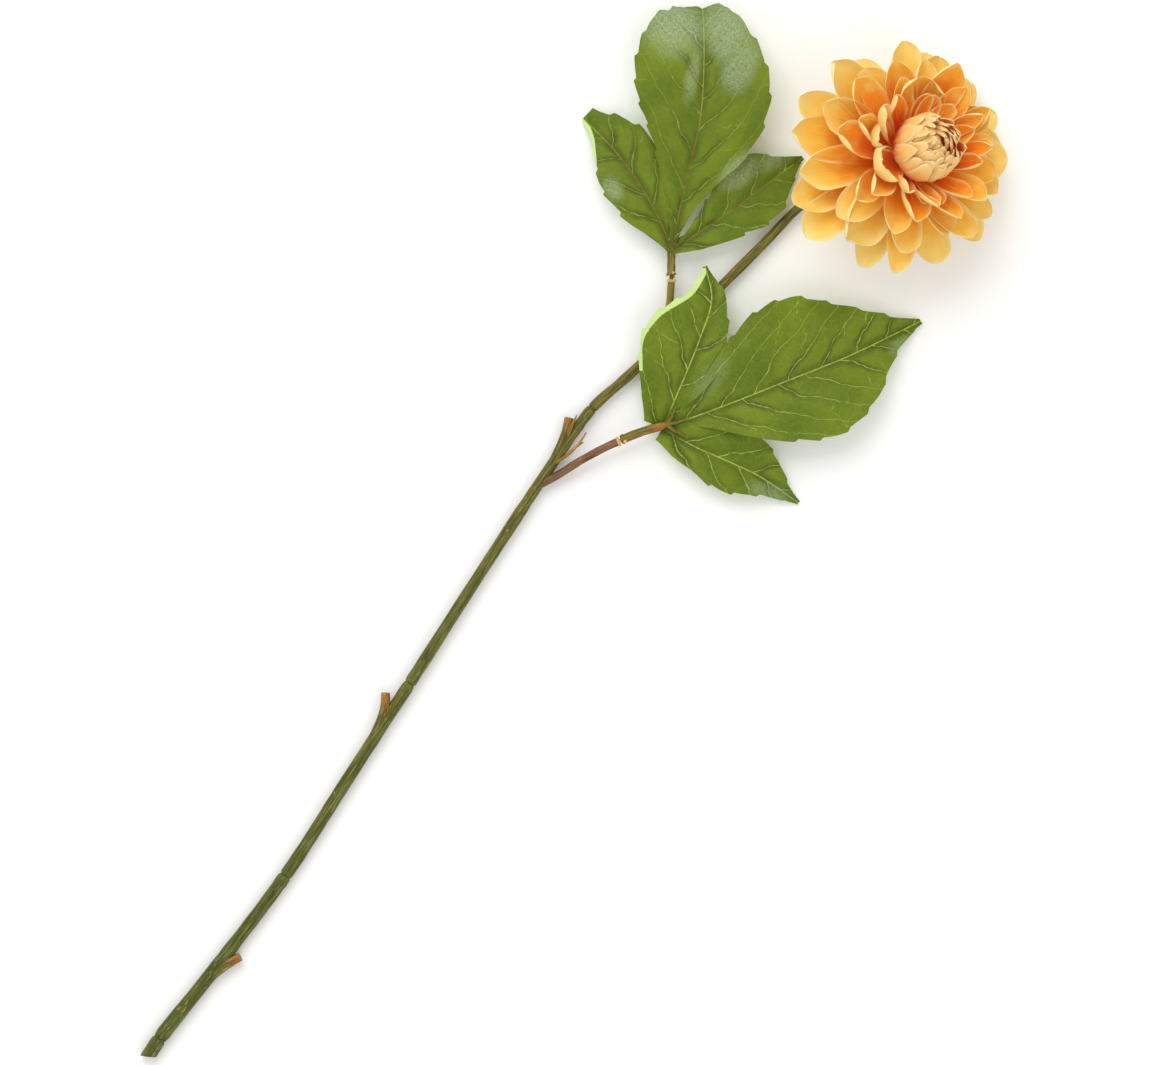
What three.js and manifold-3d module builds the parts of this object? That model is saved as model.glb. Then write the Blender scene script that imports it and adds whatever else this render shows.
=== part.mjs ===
// A single artificial dahlia on its stem, lying on a table: a wired plastic stem in five
// sleeves, two fabric leaves of three lobes on plastic ribs, and a flower head of fabric
// petal layers threaded on a post. Millimetres, +Z up, the table at Z = 0, and +Y along
// the stem towards the flower.
import * as THREE from "three";
import { mergeVertices } from "three/addons/utils/BufferGeometryUtils.js";
import Module from "manifold-3d";

const wasm = await Module();
wasm.setup();

// ---- Driving dimensions ----

const GAP = 0.3; // between pieces that touch
const FABRIC = 0.45; // petal and leaf thickness
const WIRE_R = 0.9; // steel core of the stem
const SLEEVE_SIDES = 12;
const SLEEVE_STEP = 18; // length of one facet along a sleeve
const NECK_STEP = 5; // and where the stem bends up to the flower

// Puts the origin on the table under the middle of the whole piece.
const FOOTPRINT_MIDDLE = new THREE.Vector3(25.3, 16.2, 0);

// Head: the post's foot, and how far the flower leans over, and towards which side.
const HEAD_FOOT = new THREE.Vector3(4.4, 220.2, 24.7);
const HEAD_TILT = THREE.MathUtils.degToRad(25);
const HEAD_TILT_HEADING = THREE.MathUtils.degToRad(60);
const HEAD_HINGE = new THREE.Vector3(
  -Math.sin(HEAD_TILT_HEADING),
  Math.cos(HEAD_TILT_HEADING),
  0,
);
const HEAD_AXIS = new THREE.Vector3(0, 0, 1).applyAxisAngle(HEAD_HINGE, HEAD_TILT);
const onHeadAxis = (height) =>
  HEAD_FOOT.clone().addScaledVector(HEAD_AXIS, height).toArray();
const NECK_START = [-16.0, 180.5, 4.8];
const NECK_END = onHeadAxis(-8);

// The stem's centreline, from the cut end to the underside of the flower.
const STEM_JOINTS = [
  [4.7, -305.9, 3.5], // cut end
  [3.2, -294.3, 3.5], // end joint
  [-0.6, -201.7, 3.6], // lower joint
  [-13.3, -99.6, 4.2], // middle joint
  [-29.9, 47.5, 4.2], // upper joint
];
const STEM_POINTS = [
  STEM_JOINTS[0],
  STEM_JOINTS[1],
  [2.3, -262, 3.5],
  STEM_JOINTS[2],
  [-7.0, -150.6, 4.0],
  STEM_JOINTS[3],
  [-20.2, -46.0, 4.4],
  [-26.8, 9.5, 4.4],
  STEM_JOINTS[4],
  [-26.9, 69.2, 4.2],
  [-23.0, 103.7, 4.0],
  [-18.7, 150.9, 4.2],
  NECK_START,
  [-8.0, 199.6, 6.6],
  [-2.6, 208.6, 8.4],
  onHeadAxis(-13),
  NECK_END,
  onHeadAxis(-3), // end of the wire, inside the head's post
];
// Outer radius of each sleeve at its lower and its upper end.
const SLEEVES = [
  { name: "stem_end_sleeve", lower: 3.2, upper: 3.3 },
  { name: "stem_lower_sleeve", lower: 3.15, upper: 2.9 },
  { name: "stem_middle_sleeve", lower: 2.85, upper: 2.7 },
  { name: "stem_branching_sleeve", lower: 2.7, upper: 2.5 },
  { name: "stem_upper_sleeve", lower: 2.3, upper: 2.0 },
];
const SLEEVE_ROUNDING = 2.2; // length over which a sleeve's end draws in
const SLEEVE_END_SHARE = 0.66; // of the radius, at the drawn-in end

const POST_R = 1.6;
const GASKET_R = 3.4;
const LAYER_PITCH = 1.6; // from one threaded layer to the next

// Open petal layers, from the back of the flower. A petal leaves the post at the angle
// rise and ends at the angle end, both from the flower's own plane, in degrees.
const OPEN_LAYERS = [
  { count: 10, length: 54, width: 8.8, rise: 5, end: -5 },
  { count: 10, length: 51.5, width: 8.8, rise: 7, end: 4 },
  { count: 10, length: 47, width: 8.0, rise: 9, end: 15 },
  { count: 9, length: 41, width: 7.4, rise: 11, end: 28 },
  { count: 9, length: 35.5, width: 6.4, rise: 13, end: 44 },
  { count: 9, length: 31, width: 5.2, rise: 15, end: 62 },
  { count: 8, length: 27, width: 4.4, rise: 16, end: 84 },
];
// Closed rows of the bud, from the outside: they spread like a cup, stand upright for the
// height tall, then fold over by the angle close, in degrees.
const BUD_ROWS = [
  { count: 12, radius: 15.4, width: 4.6, tall: 0, close: 36 },
  { count: 11, radius: 13.6, width: 4.3, tall: 1.5, close: 43 },
  { count: 9, radius: 11.8, width: 3.9, tall: 3.5, close: 50 },
  { count: 8, radius: 9.8, width: 3.4, tall: 5.5, close: 57 },
  { count: 6, radius: 7.8, width: 2.8, tall: 8, close: 65 },
];
const BUD_RISE = 8;
const BUD_HEART_R = 4.6;

// ---- Helpers that turn points and outlines into closed solids ----

const degrees = THREE.MathUtils.degToRad;
const UP = new THREE.Vector3(0, 0, 1);
const vector = ([x, y, z]) => new THREE.Vector3(x, y, z);

function geometryOf(points, triangles) {
  const geometry = new THREE.BufferGeometry();
  const flat = points.flatMap((p) => [p.x, p.y, p.z]);
  geometry.setAttribute("position", new THREE.Float32BufferAttribute(flat, 3));
  geometry.setIndex(triangles);
  return geometry;
}

function solidOf(geometry) {
  const bare = geometry.clone();
  bare.deleteAttribute("normal");
  bare.deleteAttribute("uv");
  const merged = mergeVertices(bare, 1e-4);
  return new wasm.Manifold(
    new wasm.Mesh({
      numProp: 3,
      vertProperties: new Float32Array(merged.attributes.position.array),
      triVerts: new Uint32Array(merged.index.array),
    }),
  );
}

function geometryFromSolid(solid) {
  const mesh = solid.getMesh();
  const points = [];
  for (let i = 0; i < mesh.numVert; i++) {
    const at = i * mesh.numProp;
    points.push(new THREE.Vector3(...mesh.vertProperties.subarray(at, at + 3)));
  }
  return geometryOf(points, [...mesh.triVerts]);
}

function joined(geometries) {
  const whole = geometries
    .map(solidOf)
    .reduce((sum, solid) => sum.add(solid));
  return geometryFromSolid(whole);
}

function cut(geometry, ...tools) {
  const rest = tools.reduce(
    (solid, tool) => solid.subtract(solidOf(tool)),
    solidOf(geometry),
  );
  return geometryFromSolid(rest);
}

// A solid of round sections: [distance along the curve, radius] pairs, capped at both
// ends, which may lie beyond the curve's own.
function sweptRound(curve, outline, { sides = SLEEVE_SIDES } = {}) {
  const length = curve.getLength();
  const points = [];
  const centres = [];
  for (const [along, radius] of outline) {
    const u = THREE.MathUtils.clamp(along / length, 0, 1);
    const tangent = curve.getTangentAt(u);
    const centre = curve.getPointAt(u).addScaledVector(tangent, along - u * length);
    const side = new THREE.Vector3().crossVectors(tangent, UP).normalize();
    const top = new THREE.Vector3().crossVectors(side, tangent);
    for (let k = 0; k < sides; k++) {
      const turn = (2 * Math.PI * k) / sides;
      const rim = centre.clone().addScaledVector(side, radius * Math.cos(turn));
      points.push(rim.addScaledVector(top, radius * Math.sin(turn)));
    }
    centres.push(centre);
  }
  const triangles = [];
  const rings = outline.length;
  for (let ring = 0; ring + 1 < rings; ring++) {
    for (let k = 0; k < sides; k++) {
      const beside = (k + 1) % sides;
      const next = (ring + 1) * sides;
      const [a, b] = [ring * sides + k, ring * sides + beside];
      triangles.push(a, next + beside, b, a, next + k, next + beside);
    }
  }
  const end = (rings - 1) * sides;
  const foot = points.push(centres[0]) - 1;
  const tip = points.push(centres[rings - 1]) - 1;
  for (let k = 0; k < sides; k++) {
    const beside = (k + 1) % sides;
    triangles.push(foot, k, beside, tip, end + beside, end + k);
  }
  return geometryOf(points, triangles);
}

// A solid rod along a curve; its radius runs through the list from end to end.
function rod(curve, radii, sides = 10) {
  const step = curve.getLength() / (radii.length - 1);
  return sweptRound(curve, radii.map((radius, i) => [step * i, radius]), { sides });
}

// A thin sheet: rows of points on its upper face, and the same points one fabric
// thickness below along the given normals.
function sheet(rows, normals, thickness = FABRIC) {
  const across = rows[0].length;
  const upper = rows.flat();
  const lower = upper.map((p, i) =>
    p.clone().addScaledVector(normals.flat()[i], -thickness),
  );
  const points = [...upper, ...lower];
  const under = upper.length;
  const triangles = [];
  const quad = (a, b, c, d) => triangles.push(a, b, c, a, c, d);
  for (let i = 0; i + 1 < rows.length; i++) {
    for (let j = 0; j + 1 < across; j++) {
      const a = i * across + j;
      quad(a, a + 1, a + across + 1, a + across);
      quad(under + a, under + a + across, under + a + across + 1, under + a + 1);
    }
    const left = i * across;
    const right = left + across - 1;
    quad(left, left + across, under + left + across, under + left);
    quad(right, under + right, under + right + across, right + across);
  }
  const end = (rows.length - 1) * across;
  for (let j = 0; j + 1 < across; j++) {
    quad(j, under + j, under + j + 1, j + 1);
    quad(end + j, end + j + 1, under + end + j + 1, under + end + j);
  }
  return geometryOf(points, triangles);
}

const materials = {
  stem: new THREE.MeshStandardMaterial({ color: 0x5f5d1e, roughness: 0.5 }),
  wire: new THREE.MeshStandardMaterial({
    color: 0x6d6f70,
    roughness: 0.4,
    metalness: 1,
  }),
  twig: new THREE.MeshStandardMaterial({ color: 0x845a3e, roughness: 0.5 }),
  rib: new THREE.MeshStandardMaterial({ color: 0x6f6a1c, roughness: 0.5 }),
  leaf: new THREE.MeshStandardMaterial({ color: 0x4f7425, roughness: 0.5 }),
  calyx: new THREE.MeshStandardMaterial({ color: 0x5d7a2a, roughness: 0.5 }),
  petal: new THREE.MeshStandardMaterial({ color: 0xf5a93c, roughness: 0.7 }),
  bud: new THREE.MeshStandardMaterial({ color: 0xe9bc72, roughness: 0.7 }),
};

function piece(name, geometry, material, parent) {
  const mesh = new THREE.Mesh(geometry, material);
  mesh.name = name;
  parent.add(mesh);
  return mesh;
}

// ---- Stem ----

const flower = new THREE.Group();
const stemCurve = new THREE.CatmullRomCurve3(STEM_POINTS.map(vector));
stemCurve.arcLengthDivisions = 50 * (STEM_POINTS.length - 1);
const stemLength = stemCurve.getLength();

// How far along the stem one of its control points lies.
function alongStem(point) {
  const lengths = stemCurve.getLengths(stemCurve.arcLengthDivisions);
  const share = STEM_POINTS.indexOf(point) / (STEM_POINTS.length - 1);
  return lengths[Math.round(share * stemCurve.arcLengthDivisions)];
}

// Distances along the stem at which it is faceted, the same for wire, bores and sleeves.
const stemRings = [0];
while (stemRings.at(-1) < stemLength) {
  const last = stemRings.at(-1);
  stemRings.push(last + (last < alongStem(NECK_START) ? SLEEVE_STEP : NECK_STEP));
}
const ringsBetween = (from, to) => [
  from,
  ...stemRings.filter((along) => along > from + 1 && along < to - 1),
  to,
];

// The outside of a sleeve, as [distance along the stem, radius] pairs.
function sleeveOutline(from, to, lower, upper, extra = 0) {
  const [start, stop] = [from + SLEEVE_ROUNDING, to - SLEEVE_ROUNDING];
  const outside = ringsBetween(start, stop).map((along) => {
    const share = (along - start) / (stop - start);
    return [along, THREE.MathUtils.lerp(lower, upper, share) + extra];
  });
  return [
    [from, lower * SLEEVE_END_SHARE + extra],
    [from + SLEEVE_ROUNDING * 0.4, lower * 0.9 + extra],
    ...outside,
    [to - SLEEVE_ROUNDING * 0.4, upper * 0.9 + extra],
    [to, upper * SLEEVE_END_SHARE + extra],
  ];
}

// A short stub left where a side shoot was cut off, or a bract, on the stem.
function stub(points, radii) {
  return rod(new THREE.CatmullRomCurve3(points.map(vector)), radii, 8);
}

const SHOOTS = {
  stem_lower_sleeve: [
    stub([[1.9, -252, 3.6], [4.6, -246.6, 4.2], [7.4, -242.6, 4.6]], [1.6, 1.7, 1.6]),
  ],
  stem_middle_sleeve: [
    stub(
      [[-11.2, -121, 4.2], [-15.0, -114.8, 4.8], [-18.9, -109.8, 5.2]],
      [1.9, 1.8, 1.8],
    ),
  ],
  stem_branching_sleeve: [
    stub(
      [[-29.6, 26.4, 4.4], [-32.0, 31.8, 5.2], [-35.2, 37.8, 5.8]],
      [1.9, 1.75, 1.75],
    ),
    stub([[-30.2, 31, 6], [-31.9, 35.5, 7.4], [-33.2, 41.0, 8.6]], [0.8, 0.7, 0.25]),
    stub(
      [[-27.0, 18, 5.6], [-25.0, 24.5, 7.2], [-24.3, 30.5, 8.4], [-24.9, 37.6, 9.6]],
      [0.9, 0.7, 0.6, 0.3],
    ),
    stub([[-24.3, 30.0, 8.3], [-23.2, 33.5, 8.4]], [0.6, 0.3]),
  ],
};

function sleeveLimits(index) {
  const from = alongStem(STEM_JOINTS[index]);
  const next = STEM_JOINTS[index + 1];
  const to = alongStem(next || NECK_END);
  return [from + (index ? GAP : 0), to - (next ? GAP : 0)];
}

function sleeve(index) {
  const { name, lower, upper } = SLEEVES[index];
  const [from, to] = sleeveLimits(index);
  const body = sweptRound(stemCurve, sleeveOutline(from, to, lower, upper));
  const bore = ringsBetween(from - 1, to + 1).map((along) => [along, WIRE_R + GAP]);
  const hollow = cut(joined([body, ...(SHOOTS[name] || [])]), sweptRound(stemCurve, bore));
  return index === 0 ? slantCut(hollow) : hollow;
}

// The florist's slanting cut across the lowest sleeve.
function slantCut(body) {
  const block = new THREE.BoxGeometry(30, 12, 30);
  block.translate(0, -6, 0);
  block.rotateZ(degrees(34));
  block.translate(4.6, -303.4, 0);
  return cut(body, block);
}

SLEEVES.forEach(({ name }, index) =>
  piece(name, sleeve(index), materials.stem, flower),
);

// Wire core, from just inside the cut end into the foot of the head's post.
const WIRE_START = 7;
const wireOutline = ringsBetween(WIRE_START, stemLength).map((along) => [along, WIRE_R]);
piece(
  "stem_wire",
  sweptRound(stemCurve, wireOutline, { sides: 8 }),
  materials.wire,
  flower,
);

// ---- Side twigs, each with a peg that carries a leaf's rib ----

const PEG_R = 0.85;
const PEG_LENGTH = 4.5;

// The stem's own outside, made GAP larger, to fit a twig's foot against it.
function stemSurround(index) {
  const { lower, upper } = SLEEVES[index];
  const [from, to] = sleeveLimits(index);
  return sweptRound(stemCurve, sleeveOutline(from, to, lower, upper, GAP));
}

function twig(points, radius, sleeveIndex) {
  const curve = new THREE.CatmullRomCurve3(points.map(vector));
  const collar = radius * 1.28;
  const length = curve.getLength();
  const end = length - PEG_LENGTH;
  const outline = [
    [0, 0.4 * radius],
    [0.8, radius * 0.85],
    [2.2, radius],
    [0.5 * end, radius * 1.02],
    [end - 1.4, radius * 0.94],
    [end - 1.1, collar],
    [end - 0.4, collar],
    [end - 0.3, PEG_R],
    [length, PEG_R],
  ];
  return cut(sweptRound(curve, outline, { sides: 12 }), stemSurround(sleeveIndex));
}

const LOWER_TWIG = [
  [-26.2, 6.5, 4.6],
  [-22.6, 14.6, 5.2],
  [-18.9, 26.0, 6.4],
  [-13.6, 39.2, 7.6],
  [-8.8, 48.6, 8.0],
];
const UPPER_TWIG = [
  [-25.6, 76.0, 4.4],
  [-28.2, 90.0, 4.6],
  [-32.2, 103.5, 5.2],
  [-38.2, 112.6, 6.2],
  [-43.0, 118.6, 7.0],
];
piece("lower_leaf_twig", twig(LOWER_TWIG, 1.8, 3), materials.twig, flower);
piece("upper_leaf_twig", twig(UPPER_TWIG, 1.6, 4), materials.twig, flower);

// ---- Leaves: one fabric blade of three lobes on a plastic rib with three prongs ----

// The value of an evenly spaced list at a share of its length.
function listAt(values, share) {
  const place = share * (values.length - 1);
  const before = Math.min(Math.floor(place), values.length - 2);
  return THREE.MathUtils.lerp(values[before], values[before + 1], place - before);
}

// One lobe from its midrib and its half-widths on the left and right, evenly spaced
// along it. Both halves fold up from the midrib by the angles in fold, in degrees.
function lobe({ midrib, left, right, fold, along = 7 }) {
  const curve = new THREE.CatmullRomCurve3(midrib.map(vector));
  const rows = [];
  const normals = [];
  for (let i = 0; i <= along; i++) {
    const share = i / along;
    const centre = curve.getPointAt(share);
    const tangent = curve.getTangentAt(share);
    const side = new THREE.Vector3().crossVectors(UP, tangent).normalize();
    const normal = new THREE.Vector3().crossVectors(tangent, side).normalize();
    const row = [1, 0.5, 0, -0.5, -1].map((t) => {
      const half = listAt(t > 0 ? left : right, share) * Math.abs(t);
      const lift = degrees(t > 0 ? fold[0] : fold[1]) * (1 - 0.35 * Math.abs(t));
      return centre
        .clone()
        .addScaledVector(side, Math.sign(t) * half * Math.cos(lift))
        .addScaledVector(normal, half * Math.sin(lift));
    });
    rows.push(row);
    normals.push(row.map(() => normal));
  }
  return sheet(rows, normals);
}

// Plastic rib: a socket that slides over the twig's peg, and a prong along each lobe.
function rib(socket, radius, prongs) {
  const curve = new THREE.CatmullRomCurve3(socket.map(vector));
  const body = rod(curve, [radius * 0.85, radius, radius, radius * 0.9, radius * 0.7], 12);
  const fingers = prongs.map((points) =>
    rod(new THREE.CatmullRomCurve3(points.map(vector)), [0.9, 0.8, 0.35], 8),
  );
  const bore = [-1, 0, PEG_LENGTH + 1].map((along) => [along, PEG_R + GAP]);
  return cut(joined([body, ...fingers]), sweptRound(curve, bore, { sides: 12 }));
}

const LOWER_HUB = [0.4, 63.4, 10.2];
piece(
  "lower_leaf_rib",
  rib([[-10.9, 45.0, 8.0], [-6.0, 54.0, 8.6], LOWER_HUB], 2.0, [
    [LOWER_HUB, [-0.2, 67.2, 10.9], [-1.0, 71.6, 11.6]],
    [LOWER_HUB, [2.8, 66.6, 10.9], [5.6, 70.6, 11.6]],
    [LOWER_HUB, [4.2, 63.6, 10.6], [8.4, 64.2, 10.9]],
  ]),
  materials.rib,
  flower,
);
const LOWER_LOBES = [
  {
    midrib: [
      [0.0, 61.0, 7.2],
      [-5.5, 80.0, 10.8],
      [-12.6, 102.0, 12.6],
      [-20.2, 119.5, 11.6],
      [-32.0, 129.0, 9.4],
    ],
    left: [3, 14, 21, 26, 25, 18.5, 12, 1],
    right: [0.8, 4, 8.5, 11.5, 11, 6.5, 1.8, 0.8],
    fold: [6, 16],
  },
  {
    midrib: [
      [0.0, 61.0, 7.2],
      [15.3, 87.3, 12.4],
      [27.8, 110.4, 14.0],
      [43.1, 139.2, 10.4],
      [58.0, 172.7, 1.1],
    ],
    left: [0.8, 10, 23, 34, 36, 27, 14, 1.5],
    right: [0.8, 6, 17.5, 27.5, 32, 25, 10, 1.5],
    fold: [10, 10],
  },
  {
    midrib: [
      [0.0, 61.0, 7.2],
      [15.7, 63.8, 9.0],
      [29.2, 67.7, 8.8],
      [47.7, 72.6, 6.2],
      [68.4, 74.8, 0.8],
    ],
    left: [0.8, 9.5, 14, 16.5, 17, 12.5, 5.5, 1],
    right: [3, 7, 10, 14, 13.5, 9.5, 5, 1],
    fold: [12, 9],
  },
];
piece("lower_leaf_blade", joined(LOWER_LOBES.map(lobe)), materials.leaf, flower);

const UPPER_HUB = [-49.6, 126.6, 6.6];
piece(
  "upper_leaf_rib",
  rib([[-41.1, 116.2, 6.8], [-45.6, 121.6, 6.8], UPPER_HUB], 1.9, [
    [UPPER_HUB, [-54.0, 127.6, 6.6], [-58.4, 129.4, 7.0]],
    [UPPER_HUB, [-51.8, 130.6, 7.4], [-54.2, 134.8, 8.2]],
    [UPPER_HUB, [-48.8, 130.6, 7.0], [-47.6, 135.0, 7.4]],
  ]),
  materials.rib,
  flower,
);
const UPPER_LOBES = [
  {
    midrib: [
      [-48.0, 124.6, 8.8],
      [-60.6, 131.6, 9.6],
      [-76.1, 137.4, 10.2],
      [-95.0, 142.4, 7.6],
      [-117.0, 145.0, 1.2],
    ],
    left: [2, 8, 13.5, 16, 16, 11.5, 5, 1],
    right: [0.8, 4.5, 10, 15, 17, 14, 7, 1],
    fold: [10, 12],
  },
  {
    midrib: [
      [-48.0, 124.6, 8.8],
      [-61.2, 148.7, 12.0],
      [-75.6, 177.0, 16.4],
      [-92.5, 200.5, 16.0],
      [-106.4, 216.4, 9.6],
      [-110.0, 220.4, 1.0],
    ],
    left: [0.8, 5, 12.5, 22.5, 30, 31, 23, 5],
    right: [0.8, 7, 15, 25, 31, 28, 18, 5],
    fold: [9, 9],
    along: 9,
  },
  {
    midrib: [
      [-48.0, 124.6, 8.8],
      [-43.4, 140.4, 10.0],
      [-38.8, 156.8, 10.0],
      [-34.4, 175.4, 7.4],
      [-30.0, 195.0, 2.0],
    ],
    left: [0.8, 3.5, 8, 14.5, 18, 17.5, 9, 1],
    right: [2, 6.5, 10, 13, 15.5, 13.5, 7, 1],
    fold: [14, 6],
  },
];
piece("upper_leaf_blade", joined(UPPER_LOBES.map(lobe)), materials.leaf, flower);

// ---- Flower head, in its own frame: the post along +Z, its foot at the origin ----

const head = new THREE.Group();
head.position.copy(HEAD_FOOT);
head.quaternion.setFromAxisAngle(HEAD_HINGE, HEAD_TILT);
flower.add(head);

const lathe = (outline, sides = 20) => {
  const points = outline.map(([radius, height]) => new THREE.Vector2(radius, height));
  return new THREE.LatheGeometry(points, sides).rotateX(Math.PI / 2);
};

// Half-width of a petal: as wide as its share of the circle lets it be near the post,
// widest two thirds out, round at the tip.
function petalWidth(share, most, room) {
  const free = most * Math.sin(Math.PI * (0.1 + 0.87 * share ** 1.2)) ** 0.75;
  return Math.min(free, room);
}

// A point of the flower head from its distance to the axis, height and turn.
function around(radius, height, turn, sideways) {
  const [c, s] = [Math.cos(turn), Math.sin(turn)];
  return new THREE.Vector3(
    radius * c - sideways * s,
    radius * s + sideways * c,
    height,
  );
}

// One petal along a line: a function of the share of its length that gives the radius,
// height and slope there.
function petal(line, { count, width, cup, along, across }, turn) {
  const rows = [];
  const normals = [];
  for (let i = 0; i <= along; i++) {
    const share = 1 - (1 - i / along) ** 1.35; // rows close up towards the tip
    const { radius, height, slope } = line(share);
    const half = petalWidth(share, width, (PETAL_ROOM * Math.PI * radius) / count);
    const row = [];
    for (let j = 0; j <= across; j++) {
      const t = (2 * j) / across - 1;
      const lift = cup * share * t * t * half;
      const [out, up] = [radius - lift * Math.sin(slope), height + lift * Math.cos(slope)];
      row.push(around(out, up, turn, -t * half));
    }
    rows.push(row);
    const normal = around(-Math.sin(slope), Math.cos(slope), turn, 0);
    normals.push(row.map(() => normal));
  }
  return sheet(rows, normals);
}

// The washer moulded into the middle of each layer, which threads on the post.
function gasket(base) {
  const [low, high] = [base - 0.65, base + 0.65];
  const bore = POST_R + GAP;
  return lathe(
    [[bore, low], [GASKET_R, low], [GASKET_R, high], [bore, high], [bore, low]],
    12,
  );
}

const PETAL_START = 2.7; // inside the gasket, where a petal's foot is moulded in
const PETAL_ROOM = 0.9; // of its share of the circle, so that neighbours stay apart

// An open petal's line: its slope turns evenly from rise to end, so it is an arc.
function openLine(base, { length, rise, end }) {
  const [from, to] = [degrees(rise), degrees(end)];
  const bend = length / (to - from);
  return (share) => {
    const slope = from + (to - from) * share;
    return {
      radius: PETAL_START + bend * (Math.sin(slope) - Math.sin(from)),
      height: base + 0.2 - bend * (Math.cos(slope) - Math.cos(from)),
      slope,
    };
  };
}

// A bud scale's line: an arc out to the row's radius, upright, then an arc over the dome.
function budLine(base, { radius: widest, tall, close }) {
  const from = degrees(BUD_RISE);
  const bend = (widest - PETAL_START) / (1 - Math.sin(from));
  const waist = base + 0.2 + bend * Math.cos(from);
  const out = bend * (Math.PI / 2 - from);
  const over = widest * degrees(close);
  return (share) => {
    const along = share * (out + tall + over);
    if (along <= out) {
      const slope = from + along / bend;
      return {
        radius: PETAL_START + bend * (Math.sin(slope) - Math.sin(from)),
        height: waist - bend * Math.cos(slope),
        slope,
      };
    }
    const upright = Math.min(along - out, tall);
    const fold = (along - out - upright) / widest;
    return {
      radius: widest * Math.cos(fold),
      height: waist + upright + widest * Math.sin(fold),
      slope: Math.PI / 2 + fold,
    };
  };
}

const layerHeight = (index) => index * LAYER_PITCH;
const turnOf = (k, count, index) => (2 * Math.PI * (k + 0.5 * (index % 2))) / count;

OPEN_LAYERS.forEach((layer, index) => {
  const base = layerHeight(index);
  const line = openLine(base, layer);
  const shape = { ...layer, cup: 0.26, along: 4, across: index < 4 ? 4 : 2 };
  const petals = Array.from({ length: layer.count }, (_, k) =>
    petal(line, shape, turnOf(k, layer.count, index)),
  );
  const whole = joined([gasket(base), ...petals]);
  piece(`petal_layer_${index + 1}`, whole, materials.petal, head);
});

BUD_ROWS.forEach((row, k) => {
  const index = OPEN_LAYERS.length + k;
  const base = layerHeight(index);
  const line = budLine(base, row);
  const shape = { ...row, cup: 0.2, along: 6, across: 2 };
  const scales = Array.from({ length: row.count }, (_, n) =>
    petal(line, shape, turnOf(n, row.count, index)),
  );
  piece(`bud_row_${k + 1}`, joined([gasket(base), ...scales]), materials.bud, head);
});

// Heart of the bud: a closed cone of the smallest scales, pushed on the end of the post.
const heartBase = layerHeight(OPEN_LAYERS.length + BUD_ROWS.length) - 0.6;
const postTop = heartBase + 4;
piece(
  "bud_heart",
  lathe(
    [
      [POST_R + GAP, heartBase],
      [3.0, heartBase],
      [BUD_HEART_R, heartBase + 6],
      [BUD_HEART_R, heartBase + 11],
      [BUD_HEART_R * 0.75, heartBase + 14.4],
      [BUD_HEART_R * 0.4, heartBase + 16.6],
      [0, heartBase + 17.4],
      [0, postTop + GAP],
      [POST_R + GAP, postTop + GAP],
      [POST_R + GAP, heartBase],
    ],
    14,
  ),
  materials.bud,
  head,
);

// Post with the flange that carries the first layer, and a socket for the stem's wire.
const FLANGE_TOP = -0.95;
piece(
  "head_post",
  lathe([
    [WIRE_R + GAP, -6.2],
    [2.3, -6.2],
    [2.3, FLANGE_TOP - 1.2],
    [4.2, FLANGE_TOP - 1.2],
    [4.2, FLANGE_TOP],
    [POST_R, FLANGE_TOP],
    [POST_R, postTop],
    [0, postTop],
    [0, -2.6],
    [WIRE_R + GAP, -2.6],
    [WIRE_R + GAP, -6.2],
  ]),
  materials.calyx,
  head,
);

// Calyx: a green cup round the post with pointed sepals under the petals.
const SEPALS = 8;
const calyxCup = lathe([
  [2.3 + GAP, -7.4],
  [3.3, -7.4],
  [4.7, -5.2],
  [5.4, -2.8],
  [5.4, -1.4],
  [4.2 + GAP, -1.4],
  [4.2 + GAP, -2.6],
  [2.3 + GAP, -2.6],
  [2.3 + GAP, -7.4],
]);
const sepalLine = (share) => ({
  radius: 4.9 + 13 * share,
  height: -2.2 - 1.1 * share - 1.9 * share * share,
  slope: degrees(-5 - 16 * share),
});
const sepals = Array.from({ length: SEPALS }, (_, k) =>
  sheet(...sepalFaces((2 * Math.PI * k) / SEPALS)),
);

function sepalFaces(turn) {
  const rows = [];
  const normals = [];
  for (const share of [0, 0.35, 0.7, 1]) {
    const { radius, height, slope } = sepalLine(share);
    const half = 1.7 * (1 - share) ** 0.6 + 0.3;
    rows.push([1, 0, -1].map((t) => around(radius, height, turn, t * half)));
    normals.push([1, 0, -1].map(() => around(-Math.sin(slope), Math.cos(slope), turn, 0)));
  }
  return [rows, normals];
}
piece("calyx", joined([calyxCup, ...sepals]), materials.calyx, head);

flower.position.copy(FOOTPRINT_MIDDLE);

export default flower;
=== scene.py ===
# %% [markdown]
# # An artificial dahlia on its stem
#
# This lesson models one made flower: a plastic stem in five sleeves, two cloth leaves
# and a head of cloth petals threaded on a post. Everything is in metres, in the frame
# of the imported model: +Z is up from the table, +Y runs along the stem to the flower.
#
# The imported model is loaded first, because every new piece takes the place of one of
# its solids. Its box is kept, to compare with the finished model at the end.

# %% Load the frame
import math
import random

import bmesh
import bpy
from mathutils import Matrix, Vector


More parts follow.
